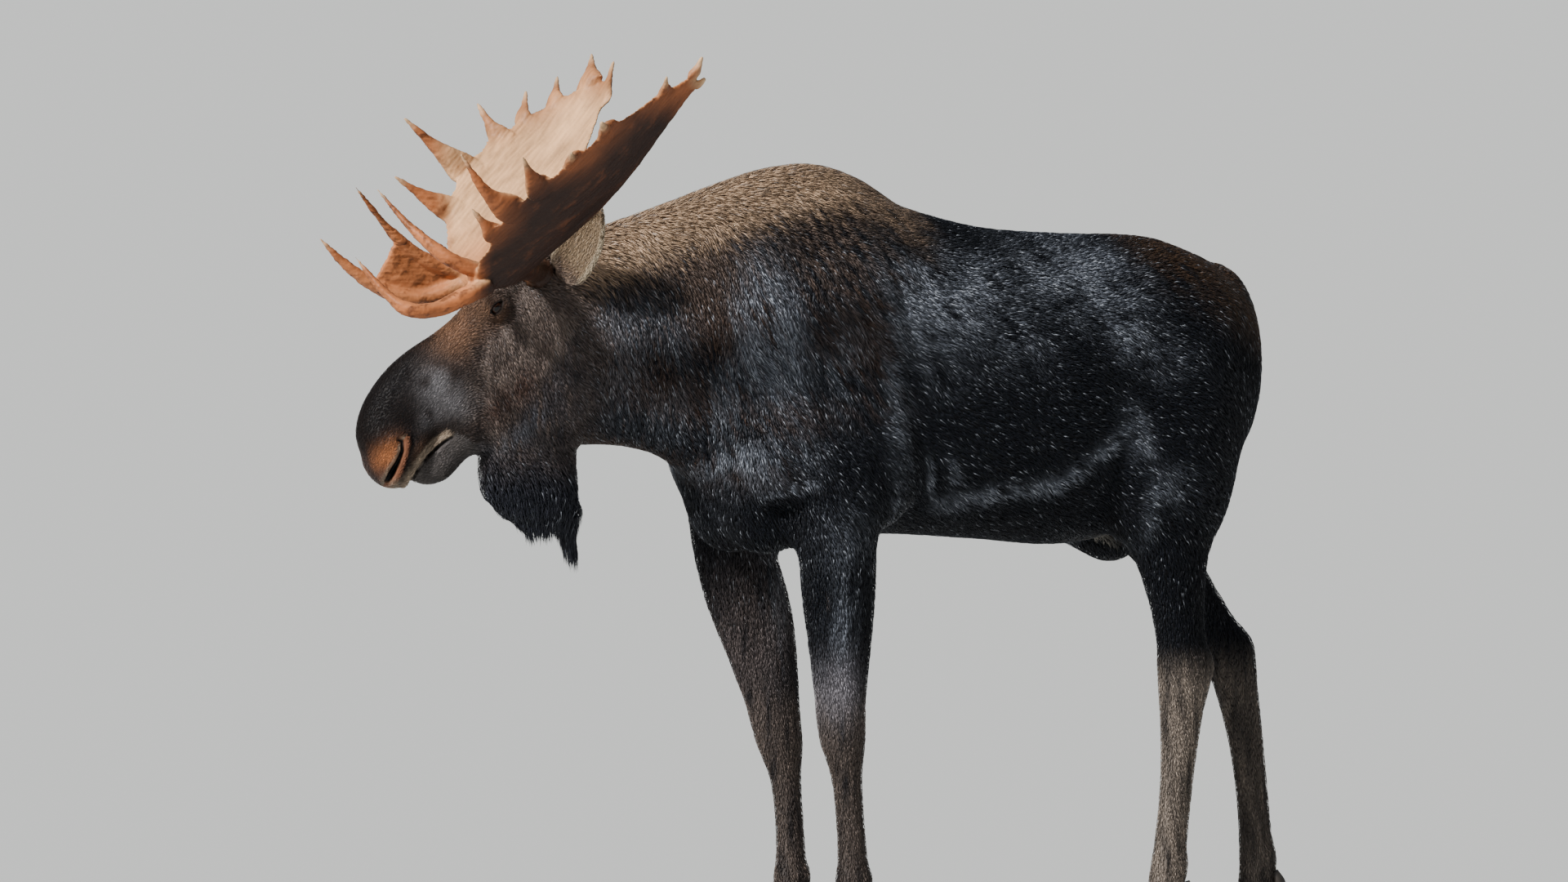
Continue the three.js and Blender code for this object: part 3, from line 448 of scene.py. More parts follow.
# %% [markdown]
# ## The head
# A moose's face is mostly nose: a long drooping muzzle with a comma-shaped nostril, a loose
# upper lip that hangs past the chin and a small eye set high and far back under a brow
# ridge. Lids, nostrils and lips are carved as folds of the same skin.

# %% Head field
skull_at = smooth_table(SKULL)
SKULL_START, SKULL_END = SKULL[0][0], SKULL[-1][0]
NOSTRIL = [(528, 100), (526, 89), (544, 77), (573, 71), (599, 67), (618, 64)]
# place along the nostril, half width and depth of its opening
nostril_opening = smooth_table(
    [(0, 1.5, 2), (0.2, 3, 5), (0.4, 3.5, 9), (0.6, 5, 13), (0.8, 7.5, 18), (1, 5, 9)]
)
NOSE_FOLD = [(500, 76), (512, 66), (544, 58), (574, 46)]
MOUTH = [(454, -12), (486, 1), (523, 11), (556, 14), (584, 10), (602, 4)]
EYE_OUT = unit(np.array([0.30, 0.10, 0.95]))
EYE_ALONG = unit(np.array([0.95, 0.05, -0.30]))
EYE_UP = np.cross(EYE_OUT, EYE_ALONG)
TEAR_START, TEAR_END = EYE + (19, -7, 5), EYE + (46, -22, -8)


def eye_opening(q):
    """Distance to the almond between the lids, and the distance from the eye's middle."""
    r = q - EYE
    u, v, out = r @ EYE_ALONG, r @ EYE_UP, r @ EYE_OUT
    almond = np.hypot(u / 16, v / np.where(v > 0, 9.5, 7.5))
    return np.maximum((almond - 1) * 8, -out), np.linalg.norm(r, axis=1)


def above_line(line, a, n):
    """How far above a line along the face each point lies."""
    return n - np.interp(a, *np.array(line, float).T)


def skull(q):
    a = np.clip(q[:, 0], SKULL_START, SKULL_END)
    top, low, half = skull_at(a).T
    middle, tall = (top + low) / 2, (top - low) / 2
    d = oval((q[:, 1] - middle) / tall, q[:, 2] / half, tall, half)
    over = np.abs(q[:, 0] - a)
    return np.where(over > 0, np.hypot(np.maximum(d, 0), over), d)


def head_form(q):
    """The head as a plain form, the same as the solids, from its left half."""
    q = np.column_stack([q[:, 0], q[:, 1], np.abs(q[:, 2])])
    d = skull(q)
    for centre, size, lean in FACE:
        r = np.stack([q[:, 0] - centre[0], q[:, 2] - centre[2], q[:, 1] - centre[1]], axis=1)
        d = blend(d, egg(leaned(r, lean), (size[0], size[2], size[1])), FACE_BLEND)
    for start, end, thick in JAW:
        d = blend(d, bar(q, start, end, thick), FACE_BLEND)
    return d


def head(p):
    q = to_face(p)
    q[:, 2] = np.abs(q[:, 2])
    d = head_form(q)
    a, n = q[:, 0], q[:, 1]
    # hollow in front of the eye, cheek bone, and the fleshy lumps above the lip
    d += 9 * spot(a, n, (232, 40), (62, 34)) - 6 * spot(a, n, (190, 4), (80, 16))
    d += 4 * spot(a, n, (476, 98), (24, 30)) - 5 * spot(a, n, (453, 67), (26, 22))
    d -= 4 * spot(a, n, (518, 40), (32, 13))
    # nostril, a comma that opens wider and deeper towards the tip of the nose
    aside = rise((q[:, 2] - 14) / 16)
    gap, place = way_along(NOSTRIL, a, n)
    width, depth = nostril_opening(place).T
    d -= 4 * np.exp(-(((gap - width - 9) / 7) ** 2)) * aside
    d += depth * (1 - rise(gap / (width + 3))) * aside
    gap, _ = way_along(NOSE_FOLD, a, n)
    d += 3.5 * np.exp(-((gap / 5) ** 2)) * aside
    # mouth, a shut line under a thick upper lip
    gap, place = way_along(MOUTH, a, n)
    above = above_line(MOUTH, a, n)
    lip = rise(place * 6) * (1 - rise((gap - 16) / 10))
    d -= (5 * np.exp(-(((above - 9) / 6.5) ** 2)) + 2.5 * np.exp(-(((above + 9) / 7) ** 2))) * lip
    d += (6 + 3 * place) * (1 - rise(gap / 7))
    # lids round the eye, open in an almond, with a fold above and the tear groove in front
    opening, r = eye_opening(q)
    d = blend(d, r - (EYE_RADIUS + 2.6), 30)
    d += 1.6 * np.exp(-(((r - EYE_RADIUS - 12) / 4.5) ** 2)) * rise((n - EYE[1]) / 14)
    d += 0.7 * np.exp(-(((r - EYE_RADIUS - 13) / 4) ** 2)) * rise((EYE[1] - n) / 14)
    tear = bar(q, TEAR_START, TEAR_END, (3.5, 1.5))
    d = carve(d, tear, 8)
    return carve(d, np.maximum(opening, EYE_RADIUS - 4 - r), 3.0)


ear_root, ear_tip = np.array(EAR["root"], float), np.array(EAR["tip"], float)
EAR_AXIS = unit(ear_tip - ear_root)
EAR_LENGTH = float(np.linalg.norm(ear_tip - ear_root))
EAR_OPEN = np.array(EAR_OPENS) - np.dot(EAR_OPENS, EAR_AXIS) * EAR_AXIS
EAR_OPEN = unit(EAR_OPEN)
EAR_ACROSS = np.cross(EAR_AXIS, EAR_OPEN)
ear_outline_at = smooth_table(EAR_OUTLINE)


def ear_place(p, side):
    """Place along the ear 0 to 1, across it and out of its hollow, in millimetres."""
    q = to_poll(p)
    q[:, 1] *= side
    r = q - ear_root
    return r @ EAR_AXIS / EAR_LENGTH, r @ EAR_ACROSS, r @ EAR_OPEN


def ear(p, side, thick=0.0):
    s, u, v = ear_place(p, side)
    inside = np.clip(s, 0, 0.985)
    width = np.maximum(ear_outline_at(inside)[:, 0], 0.02)
    half = EAR["width"] * width
    cup = EAR["cup"] * np.sqrt(width)
    across = np.clip(u / half, -1, 1)
    sheet = (v + cup * (1 - across**2)) / np.sqrt(1 + (2 * cup * across / half) ** 2)
    wall = np.maximum(EAR["thick"] * (1.5 - inside) / 2, 4.0) + thick
    beyond = np.maximum(np.abs(u) - half + wall, 0)
    return np.sqrt(sheet**2 + beyond**2 + ((s - inside) * EAR_LENGTH) ** 2) - wall


# %% [markdown]
# ## How deep the coat is
# Deepest over the neck and hump, less down the bell and on the flanks, and only a few
# millimetres on the face, ears and feet. The skin lies that far inside the solids.

# %% Coat depth and the whole skin field
def mane_weight(p):
    top = barrel_at(np.clip(p[:, 0], BARREL_START, BARREL_END))[:, 0]
    over = rise((p[:, 2] - top + 210) / 190) * rise((p[:, 0] + 800) / 220)
    return over * (1 - rise((p[:, 0] - 110) / 190))


def on_bell_weight(p):
    return (1 - rise((bell(p) - 4) / 24)) * (1 - rise((p[:, 2] - 1080) / 200))


def cheek_weight(p):
    """1 where the head carries longer hair, on the cheeks, jaw and throat."""
    q = to_face(p)
    a, n = q[:, 0], q[:, 1]
    edge = (a - 320) / 120 + (n - 5) / 80
    return (1 - rise(0.5 + 0.5 * edge)) * (1 - 0.8 * spot(a, n, (150, 66), (60, 50)))


def head_weight(p):
    """1 on the face, easing to 0 behind the jaw and down on the bell."""
    face = rise((to_face(p)[:, 0] + 20) / 120) * rise((-560 - p[:, 0]) / 160)
    return face * (1 - on_bell_weight(p)) * rise((p[:, 2] - 1000) / 30)


def coat_depth(p):
    depth = 10 + 14 * mane_weight(p)
    depth = depth + (4.5 - depth) * (1 - rise((p[:, 2] - 560) / 380))
    depth = depth + (3.5 + 5 * cheek_weight(p) - depth) * head_weight(p)
    on_bell = 8 + 7 * rise((p[:, 2] - 980) / 50)
    return depth + (on_bell - depth) * on_bell_weight(p)


def face_depth(p):
    """How deep the hair is on the head; none on the eyelids."""
    q = to_face(p)
    q[:, 2] = np.abs(q[:, 2])
    from_eye = np.linalg.norm(q - EYE, axis=1)
    return (3 + 5 * cheek_weight(p)) * rise((from_eye - EYE_RADIUS - 3) / 22)


def skin(p, fat=0.0):
    """Distance to the skin. Fat thickens the ears, so that a coarse grid can't miss them."""
    d = trunk(p)
    for name in LEGS:
        d = blend(d, leg(p, name), 26)
    d = blend(d, bell(p), 30)
    d = blend(d, tail(p), 16)
    d = d + coat_depth(p)
    d = blend(d, head(p) + face_depth(p), 34)
    for side in (1, -1):
        d = blend(d, ear(p, side, fat) + 0.6, 14)
    return d


def slope_of(field, p, reach=0.6):
    """Distance and outward direction at each point, from four nearby samples."""
    corners = np.array([(1, -1, -1), (-1, -1, 1), (-1, 1, -1), (1, 1, 1)], float)
    values = np.stack([field(p + c * reach) for c in corners])
    gradient = np.einsum("kn,kc->nc", values, corners) / (4 * reach)
    return values.mean(axis=0), gradient


# %% [markdown]
# ## One skin
# The field is sampled on a grid and turned into a closed surface. The head is divided finer,
# the eyes and nose finer again, and each vertex is then walked onto the true surface.

# %% Sampling the skin
GRID = 15.0
LOW = np.array([-1240.0, -330.0, 20.0])
HIGH = np.array([1370.0, 330.0, 1960.0])


def sample_grid(field, low, high, step):
    counts = np.ceil((high - low) / step).astype(int) + 1
    axes = [low[k] + step * np.arange(counts[k]) for k in range(3)]
    values = np.empty(counts, np.float32)
    for i, x in enumerate(axes[0]):
        y, z = np.meshgrid(axes[1], axes[2], indexing="ij")
        p = np.column_stack([np.full(y.size, x), y.ravel(), z.ravel()])
        values[i] = field(p).reshape(y.shape)
    return values


def surface_of(values, low, step):
    grid = openvdb.FloatGrid(float(step * 4))
    grid.copyFromArray(np.clip(values, -step * 3, step * 3))
    points, quads = grid.convertToQuads()
    return points * step + low, quads


values = sample_grid(lambda p: skin(p, fat=9.0), LOW, HIGH, GRID)
points, quads = surface_of(values, LOW, GRID)
print("coarse skin:", len(points), "points", len(quads), "quads", round(time.time() - STARTED, 1), "s")


# %% Refining the skin
def subdivided(points, faces, wanted, cuts):
    """The faces whose corners are all wanted are divided into smaller ones."""
    mesh = bpy.data.meshes.new("refine")
    mesh.from_pydata(points.tolist(), [], [list(f) for f in faces])
    bm = bmesh.new()
    bm.from_mesh(mesh)
    bm.verts.ensure_lookup_table()
    keep = wanted(points)
    edges = [e for e in bm.edges if keep[e.verts[0].index] and keep[e.verts[1].index]]
    bmesh.ops.subdivide_edges(bm, edges=edges, cuts=cuts, use_grid_fill=True)
    bmesh.ops.triangulate(bm, faces=[f for f in bm.faces if len(f.verts) > 4])
    bm.verts.index_update()
    points = np.array([v.co[:] for v in bm.verts])
    faces = [[v.index for v in f.verts] for f in bm.faces]
    bm.free()
    bpy.data.meshes.remove(mesh)
    return points, faces


def relaxed(points, faces, chosen):
    """The chosen points move halfway to the middle of their neighbours."""
    ring = [(f[k], f[(k + 1) % len(f)]) for f in faces for k in range(len(f))]
    start, end = np.array(ring).T
    total = np.zeros_like(points)
    count = np.zeros(len(points))
    np.add.at(total, start, points[end])
    np.add.at(count, start, 1)
    mean = total / np.maximum(count, 1)[:, None]
    points = points.copy()
    points[chosen] += 0.5 * (mean - points)[chosen]
    return points


def walked(points, field, rounds):
    """Points moved onto the surface where the field is zero."""
    for _ in range(rounds):
        d, g = slope_of(field, points)
        step = np.clip(d, -6, 6) / np.maximum((g**2).sum(axis=1), 0.3)
        points = points - step[:, None] * g
    return points


def on_head(p):
    return on_ears(p) | ((to_face(p)[:, 0] > 20) & (head_form(to_face(p)) < 30) & (p[:, 0] < -690))


def on_ears(p):
    return np.minimum(ear(p, 1), ear(p, -1)) < 24


def close_to_features(p, reach):
    """Close to an eye, a nostril or the lips."""
    q = to_face(p)
    q[:, 2] = np.abs(q[:, 2])
    eye = np.linalg.norm(q - EYE, axis=1) < EYE_RADIUS + reach
    nostril = way_along(NOSTRIL, q[:, 0], q[:, 1])[0] < reach
    lips = way_along(MOUTH, q[:, 0], q[:, 1])[0] < reach * 0.7
    return eye | ((nostril | lips) & (q[:, 0] > 400) & (p[:, 0] < -690))


def by_an_eye(p):
    q = to_face(p)
    q[:, 2] = np.abs(q[:, 2])
    return np.linalg.norm(q - EYE, axis=1) < EYE_RADIUS + 12


def finer(points, faces, wanted, field):
    """Divides the wanted faces once, then spreads and walks their points."""
    points, faces = subdivided(points, faces, wanted, cuts=1)
    chosen = wanted(points)
    for _ in range(3):
        points = relaxed(points, faces, chosen)
        points[chosen] = walked(points[chosen], field, 2)
    return points, faces


skin_points = walked(points, lambda p: skin(p, fat=5.0), 2)
skin_points, skin_faces = finer(skin_points, quads, on_head, lambda p: skin(p, fat=2.0))
skin_points, skin_faces = finer(
    skin_points, skin_faces, lambda p: on_ears(p) | close_to_features(p, 60), skin
)
skin_points, skin_faces = finer(skin_points, skin_faces, lambda p: close_to_features(p, 26), skin)
skin_points, skin_faces = finer(skin_points, skin_faces, by_an_eye, skin)
skin_points = walked(skin_points, skin, 2)
print("skin:", len(skin_points), "points", len(skin_faces), "faces", round(time.time() - STARTED, 1), "s")

# %% [markdown]
# ## Streaks
# The hair lies in bands that run down the neck and back along the flanks. A stream line
# through each place gives noise that is drawn out the same way.

# %% Streaks along the lie of the coat
# place along the body, and how steeply the hair points down there, in degrees
FLOW = [
    (-900, 72), (-500, 76), (-260, 68), (-20, 52), (200, 36), (600, 27), (880, 34), (1030, 64),
    (1150, 82),
]
flow_at = smooth_table(FLOW)
FLOW_PLACES = np.arange(-1000, 1310, 10)
FLOW_FALL = np.cumsum(np.tan(np.radians(flow_at(np.clip(FLOW_PLACES, -900, 1150))[:, 0]))) * 10


def strands(p, size, seed):
    """A soft random value about 0, drawn out along the hair."""
    x, y, z = p.T
    line = z + np.interp(x, FLOW_PLACES, FLOW_FALL)
    value = ripple(np.column_stack([0.22 * x - 0.18 * z, 0.4 * y, line]), size, seed)
    hanging = ripple(np.column_stack([x, y, 0.16 * z]), size, seed)
    upright = np.maximum(1 - rise((z - 900) / 160), np.maximum(head_weight(p), on_bell_weight(p)))
    return value + (hanging - value) * upright


# %% [markdown]
# ## Colours and finishes
# Each finish is named for the real material. Colours are everyday sRGB codes, turned to
# linear light by one function.

# %% Materials
def colour(code):
    """An sRGB hex code as linear red, green and blue."""
    parts = np.array([int(code[i : i + 2], 16) for i in (1, 3, 5)]) / 255
    return np.where(parts <= 0.04045, parts / 12.92, ((parts + 0.055) / 1.055) ** 2.4)


def mixed(base, other, weight):
    weight = np.clip(weight, 0, 1)[:, None]
    return base + (other - base) * weight


def add_node(tree, kind, inputs=None, **settings):
    """Adds a node, sets its options, and gives its inputs values or links."""
    node = tree.nodes.new(kind)
    for key, value in settings.items():
        setattr(node, key, value)
    for key, value in (inputs or {}).items():
        if isinstance(value, bpy.types.NodeSocket):
            tree.links.new(value, node.inputs[key])
        else:
            node.inputs[key].default_value = value
    return node


def new_material(name, roughness, **constants):
    material = bpy.data.materials.new(name)
    material.use_nodes = True
    shader = material.node_tree.nodes["Principled BSDF"]
    shader.inputs["Roughness"].default_value = roughness
    for key, value in constants.items():
        shader.inputs[key.replace("_", " ")].default_value = value
    return material, material.node_tree, shader


def painted(tree, shader, attribute="paint"):
    """Base colour from the piece's own painted attribute."""
    paint = add_node(tree, "ShaderNodeAttribute", attribute_name=attribute)
    tree.links.new(paint.outputs["Color"], shader.inputs["Base Color"])
    return paint


def bumpy(tree, shader, vector, scale, detail, strength, depth):
    """Fine relief from noise whose size is given per metre."""
    lumps = add_node(
        tree, "ShaderNodeTexNoise", {"Vector": vector, "Scale": scale, "Detail": detail, "Roughness": 0.6}
    )
    bump = add_node(
        tree, "ShaderNodeBump", {"Height": lumps.outputs["Fac"], "Strength": strength, "Distance": depth}
    )
    tree.links.new(bump.outputs["Normal"], shader.inputs["Normal"])


SHEEN_TINT = (*colour("#8fa0b8"), 1)
hair, tree, shader = new_material(
    "guard hair, oily and flat", 0.42, Specular_IOR_Level=0.2, Sheen_Weight=0.06, Sheen_Tint=SHEEN_TINT
)
painted(tree, shader)

hide, tree, shader = new_material("hide under short hair", 0.55, Specular_IOR_Level=0.2)
painted(tree, shader)
place = add_node(tree, "ShaderNodeTexCoord")
bumpy(tree, shader, place.outputs["Object"], 420.0, 3.0, 0.6, 0.0015)

bone, tree, shader = new_material("antler, rubbed bone", 0.55, Specular_IOR_Level=0.28)
painted(tree, shader)
place = add_node(tree, "ShaderNodeTexCoord")
bumpy(tree, shader, place.outputs["Object"], 160.0, 5.0, 0.35, 0.0012)

horn, tree, shader = new_material("hoof horn", 0.45)
painted(tree, shader)
place = add_node(tree, "ShaderNodeTexCoord")
bumpy(tree, shader, place.outputs["Object"], 240.0, 4.0, 0.3, 0.001)

wet, tree, shader = new_material("wet eye", 0.1, Specular_IOR_Level=0.3, Coat_Weight=0.1, Coat_Roughness=0.02)
painted(tree, shader)


# %% [markdown]
# ## Building a piece from arrays
# Every piece is made the same way: points, faces and colours are worked out first as arrays,
# and one function turns them into a smooth mesh with its material.

# %% Piece builder
def new_piece(name, points, faces, paint, material, charts=None):
    """A closed smooth mesh in the row frame, from points in millimetres."""
    mesh = bpy.data.meshes.new(name)
    faces = np.asarray(faces)
    mesh.vertices.add(len(points))
    mesh.vertices.foreach_set("co", to_row(points).astype(np.float32).ravel())
    mesh.loops.add(faces.size)
    mesh.loops.foreach_set("vertex_index", faces.astype(np.int32).ravel())
    mesh.polygons.add(len(faces))
    mesh.polygons.foreach_set("loop_start", np.arange(0, faces.size, faces.shape[1], dtype=np.int32))
    mesh.update(calc_edges=True)
    finish_piece(mesh, paint, material)
    if charts is not None:
        layer = mesh.uv_layers.new(name="OFBake")
        layer.data.foreach_set("uv", charts[faces.ravel()].astype(np.float32).ravel())
    piece = bpy.data.objects.new(name, mesh)
    bpy.context.scene.collection.objects.link(piece)
    return piece


def finish_piece(mesh, paint, material):
    attribute = mesh.color_attributes.new(name="paint", type="FLOAT_COLOR", domain="POINT")
    rgba = np.ones((len(paint), 4), np.float32)
    rgba[:, :3] = np.clip(paint, 0, 1)
    attribute.data.foreach_set("color", rgba.ravel())
    mesh.polygons.foreach_set("use_smooth", np.ones(len(mesh.polygons), bool))
    mesh.materials.append(material)
    mesh.update()


def shown(piece, nodes):
    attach(piece, "root")
    if nodes:
        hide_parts(*nodes)
    return piece


# %% [markdown]
# ## Markings
# Nearly black over the body, brown over the mane and the top of the rump, grey-brown below
# the knees and hocks, and a rusty patch in front of the nostril. Over these lie painted light
# and shade: a bluish painted sheen and pale painted glints on the coat, painted highlights on
# the face, and painted shade in the creases, the nostrils, the ears' cups and on the far hind
# leg. Skin and hair read the same function, so they always agree.

# %% Markings
BLACK = colour("#07070c")
MANE = colour("#b5977a")
MANE_LOW = colour("#5d4e44")
UMBER = colour("#3a291e")
RUST = colour("#43301f")
SHANK = colour("#554a43")
KNEE = colour("#8a858a")
SHEATH = colour("#ded6c8")
LEG_BROWN = colour("#675b57")
# blue-grey of the painted sheen, highlights painted where light catches the coat
SHEEN_PAINT = colour("#70747d")
# pale blue-grey of the painted glints, highlights painted on single locks
GLINT = colour("#b4b8c0")
BELL_DARK = colour("#202026")
HIND_SHANK = colour("#85786c")
CHEEK = colour("#62544c")
CHEEK_LIT = colour("#8a7b71")
CHEEK_BROWN = colour("#3a2419")
FACE_DARK = colour("#231a15")
FOREHEAD_SUNLIT = colour("#8a6449")
BRIDGE = colour("#150d09")
MUZZLE_SHEEN = colour("#7b7879")
NOSE_RUST = colour("#a5683f")
NOSE_TIP = colour("#463630")
NOSTRIL_SHADE = colour("#080505")
NOSTRIL_RIM = colour("#85553c")
LIP = colour("#9d8b77")
CREASE_SHADE = colour("#120d0c")
CHIN = colour("#544e4b")
EYE_PATCH = colour("#5e4534")
LID = colour("#0f0a08")
LID_FUR = colour("#4a3529")
EAR_BACK = colour("#8c7860")
EAR_RIM = colour("#a89880")
EAR_CUP_SHADE = colour("#6f5c4a")

# side-view place, half sizes, tilt in degrees and strength of the painted sheen, bluish highlights painted
# where light catches the flat hair
PAINTED_SHEEN_SPOTS = [
    ((185, 1535), (135, 120), 0, 1.0),  # big patch behind the shoulder
    ((110, 1600), (90, 70), 0, 0.8),
    ((330, 1590), (190, 75), 14, 0.55),
    ((380, 1480), (110, 90), 0, 0.35),
    ((62, 1340), (38, 200), -4, 0.7),  # down behind the shoulder groove
    ((600, 1600), (150, 85), 10, 0.95),  # loin
    ((690, 1500), (60, 75), 0, 0.85),
    ((-245, 1480), (75, 165), -6, 1.0),  # ridge of the shoulder blade
    ((-330, 1352), (44, 120), 8, 0.6),
    ((-234, 1200), (90, 60), -20, 0.55),
    ((-72, 1420), (70, 130), 0, 0.35),
    ((-316, 1196), (60, 34), -40, 0.7),
    ((-361, 1023), (50, 70), 0, 0.5),  # breast
    ((-595, 1380), (120, 110), 0, 0.3),  # throat
    ((-560, 1500), (170, 90), 10, 0.35),  # side of the neck
    ((-450, 1300), (70, 80), 0, 0.35),
    ((714, 1233), (34, 70), -20, 0.75),  # stifle fold
    ((825, 1110), (60, 46), 0, 0.35),
    ((760, 1060), (20, 90), 0, 0.5),  # front edge of the thigh
    ((62, 1091), (12, 52), 0, 0.5),  # behind the elbow
    ((174, 1150), (12, 44), -18, 0.6),
    ((240, 1138), (14, 54), -22, 0.7),
    ((-200, 1128), (56, 12), -14, 0.8),  # rim of the elbow pocket
    ((-70, 1000), (60, 90), 0, 0.35),
    ((-60, 800), (34, 130), 0, 0.6),  # front of the forearm
    ((781, 1425), (90, 60), 20, 0.3),
]
# a pale painted highlight along the fold from the elbow to the stifle
FOLD_HIGHLIGHT = [(152, 1066), (369, 1103), (519, 1123), (647, 1215), (718, 1276)]


def painted_sheen(p):
    """How much painted sheen, 0 to 1, in streaks: a bluish highlight painted where light catches the flat
    oily coat.
    """
    x, z = p[:, 0], p[:, 2]
    total = np.zeros(len(p))
    for centre, (wide, tall), tilt, strength in PAINTED_SHEEN_SPOTS:
        c, s = math.cos(math.radians(tilt)), math.sin(math.radians(tilt))
        u, v = (x - centre[0]) * c - (z - centre[1]) * s, (x - centre[0]) * s + (z - centre[1]) * c
        total = np.maximum(total, strength * spot(u, v, (0, 0), (wide, tall)))
    gap, place = way_along(FOLD_HIGHLIGHT, x, z)
    total = np.maximum(total, 0.75 * np.exp(-((gap / 20) ** 2)) * rise(place * 5))
    streaks = 1 + 0.35 * strands(p, 8, 31) + 0.2 * strands(p, 26, 33) + 0.25 * ripple(p, 70, 32)
    return np.clip(total * streaks, 0, 1)


# line along the jaw where a bluish highlight is painted
JAW_SHEEN_LINE = [(470, -62), (425, -100), (372, -135), (300, -150)]


def face_colour(p, base):
    q = to_face(p)
    q[:, 2] = np.abs(q[:, 2])
    a, n = q[:, 0], q[:, 1]
    soft, hairs = ripple(p, 34, 11), strands(p, 7, 12)
    face = head_weight(p)
    cheek = cheek_weight(p)
    c = mixed(base, FACE_DARK, face)
    c = mixed(c, CHEEK, face * cheek * rise(0.85 + 0.18 * soft + 0.12 * hairs))
    c = mixed(c, CHEEK_LIT, face * cheek * 0.4 * rise(0.4 + 0.4 * hairs + 0.2 * soft))
    brown = spot(a, n, (335, -58), (52, 28)) + spot(a, n, (258, -84), (46, 40))
    c = mixed(c, CHEEK_BROWN, 0.85 * face * np.minimum(brown, 1) * rise(0.9 + 0.5 * hairs))
    c = mixed(c, BELL_DARK, 0.75 * face * rise((-88 - n) / 45) * rise(0.9 + 0.4 * hairs))
    ridge, _ = way_along(JAW_SHEEN_LINE, a, n)
    # painted sheen: a bluish highlight painted along the jaw
    c = mixed(c, SHEEN_PAINT, 0.35 * face * np.exp(-((ridge / 22) ** 2)) * rise(0.8 + 0.4 * hairs))
    # painted light: a pale sunlit patch over the brown of the forehead and upper bridge
    c = mixed(c, FOREHEAD_SUNLIT, 0.85 * face * spot(a, n, (235, 112), (85, 46)) * rise(0.9 + 0.3 * soft))
    dark = spot(a, n, (440, 178), (130, 56)) + spot(a, n, (570, 160), (80, 44))
    c = mixed(c, BRIDGE, np.minimum(dark, 1))
    # painted sheen: grey highlights painted on the side of the nose and on the lump above the lip
    c = mixed(c, MUZZLE_SHEEN, 0.9 * spot(a, n, (370, 92), (50, 40)) * rise(0.9 + 0.4 * soft))
    c = mixed(c, MUZZLE_SHEEN, 0.55 * spot(a, n, (384, 28), (36, 44)) * rise(0.8 + 0.5 * soft))
    c = mixed(c, MUZZLE_SHEEN, 0.5 * spot(a, n, (446, 60), (34, 24)) * rise(0.8 + 0.5 * soft))
    # painted shade in the small hollow beside the lump above the lip
    c = mixed(c, BRIDGE, 0.8 * spot(a, n, (474, 100), (26, 30)))
    rusty = spot(a, n, (574, 100), (40, 27)) * rise((q[:, 2] - 18) / 24)
    c = mixed(c, NOSE_TIP, 0.9 * spot(a, n, (620, 90), (36, 60)))
    c = mixed(c, NOSE_RUST, 0.95 * rusty * rise(1.0 + 0.3 * soft))
    above, (gap, place) = above_line(MOUTH, a, n), way_along(MOUTH, a, n)
    c = mixed(c, EYE_PATCH, 0.8 * spot(a, n, (522, 42), (34, 14)) * (above > 0))
    c = mixed(c, CHIN, rise(-above / 10 + 0.4) * (1 - rise((gap - 50) / 30)) * (a > 440))
    band = np.exp(-(((above - 13) / 11) ** 4)) * (1 - rise((gap - 24) / 6)) * rise((a - 442) / 12)
    c = mixed(c, LIP, band * rise(1.1 + 0.2 * soft))
    c = mixed(c, LIP, 0.7 * spot(a, n, (588, 26), (26, 13)) * (above > 4))
    # painted shade along the mouth line
    c = mixed(c, CREASE_SHADE, 1 - rise((gap - 1.5) / 4))
    gap, place = way_along(NOSTRIL, a, n)
    width = nostril_opening(place)[:, 0]
    under = above_line(NOSTRIL[1:], a, n) < 0
    c = mixed(c, NOSTRIL_RIM, under * rise(place * 4) * (1 - rise((gap - width - 10) / 8)) * 0.95)
    c = mixed(c, LIP, 0.6 * ~under * rise(place * 4) * np.exp(-(((gap - width - 6) / 4) ** 2)))
    c = mixed(c, LIP, 0.8 * spot(a, n, (622, 42), (14, 14)))
    fold, _ = way_along(NOSE_FOLD, a, n)
    # painted shade in the fold below the nostril
    c = mixed(c, CREASE_SHADE, 0.85 * np.exp(-((fold / 5) ** 2)))
    # painted shade inside the nostril's opening
    c = mixed(c, NOSTRIL_SHADE, 1 - rise((gap - width + 1) / 3))
    opening, r = eye_opening(q)
    lids = 0.8 * spot(a, n, (165, 88), (30, 20)) + 0.7 * spot(a, n, (160, 48), (34, 14))
    c = mixed(c, EYE_PATCH, lids)
    c = mixed(c, LID_FUR, 0.8 * (1 - rise((r - EYE_RADIUS) / 8)))
    return mixed(c, LID, (1 - rise((opening - 1) / 4)) * (r < EYE_RADIUS + 12))


def ear_colour(p, base):
    c = base
    for side in (1, -1):
        s, u, v = ear_place(p, side)
        weight = (1 - rise((ear(p, side) - 6) / 14)) * rise((s - 0.02) / 0.2)
        edge = np.abs(u) / (EAR["width"] * np.maximum(ear_outline_at(np.clip(s, 0, 1))[:, 0], 0.1))
        # the middle of the ear's cup is painted darker, as painted shade in the hollow
        cup_shade = 0.7 * rise((v + 18) / 10) * (edge < 0.6)
        tone = mixed(np.tile(EAR_BACK, (len(p), 1)), EAR_CUP_SHADE, cup_shade)
        tone = mixed(tone, EAR_RIM, rise((edge - 0.72) / 0.2))
        c = mixed(c, tone, weight)
    return c


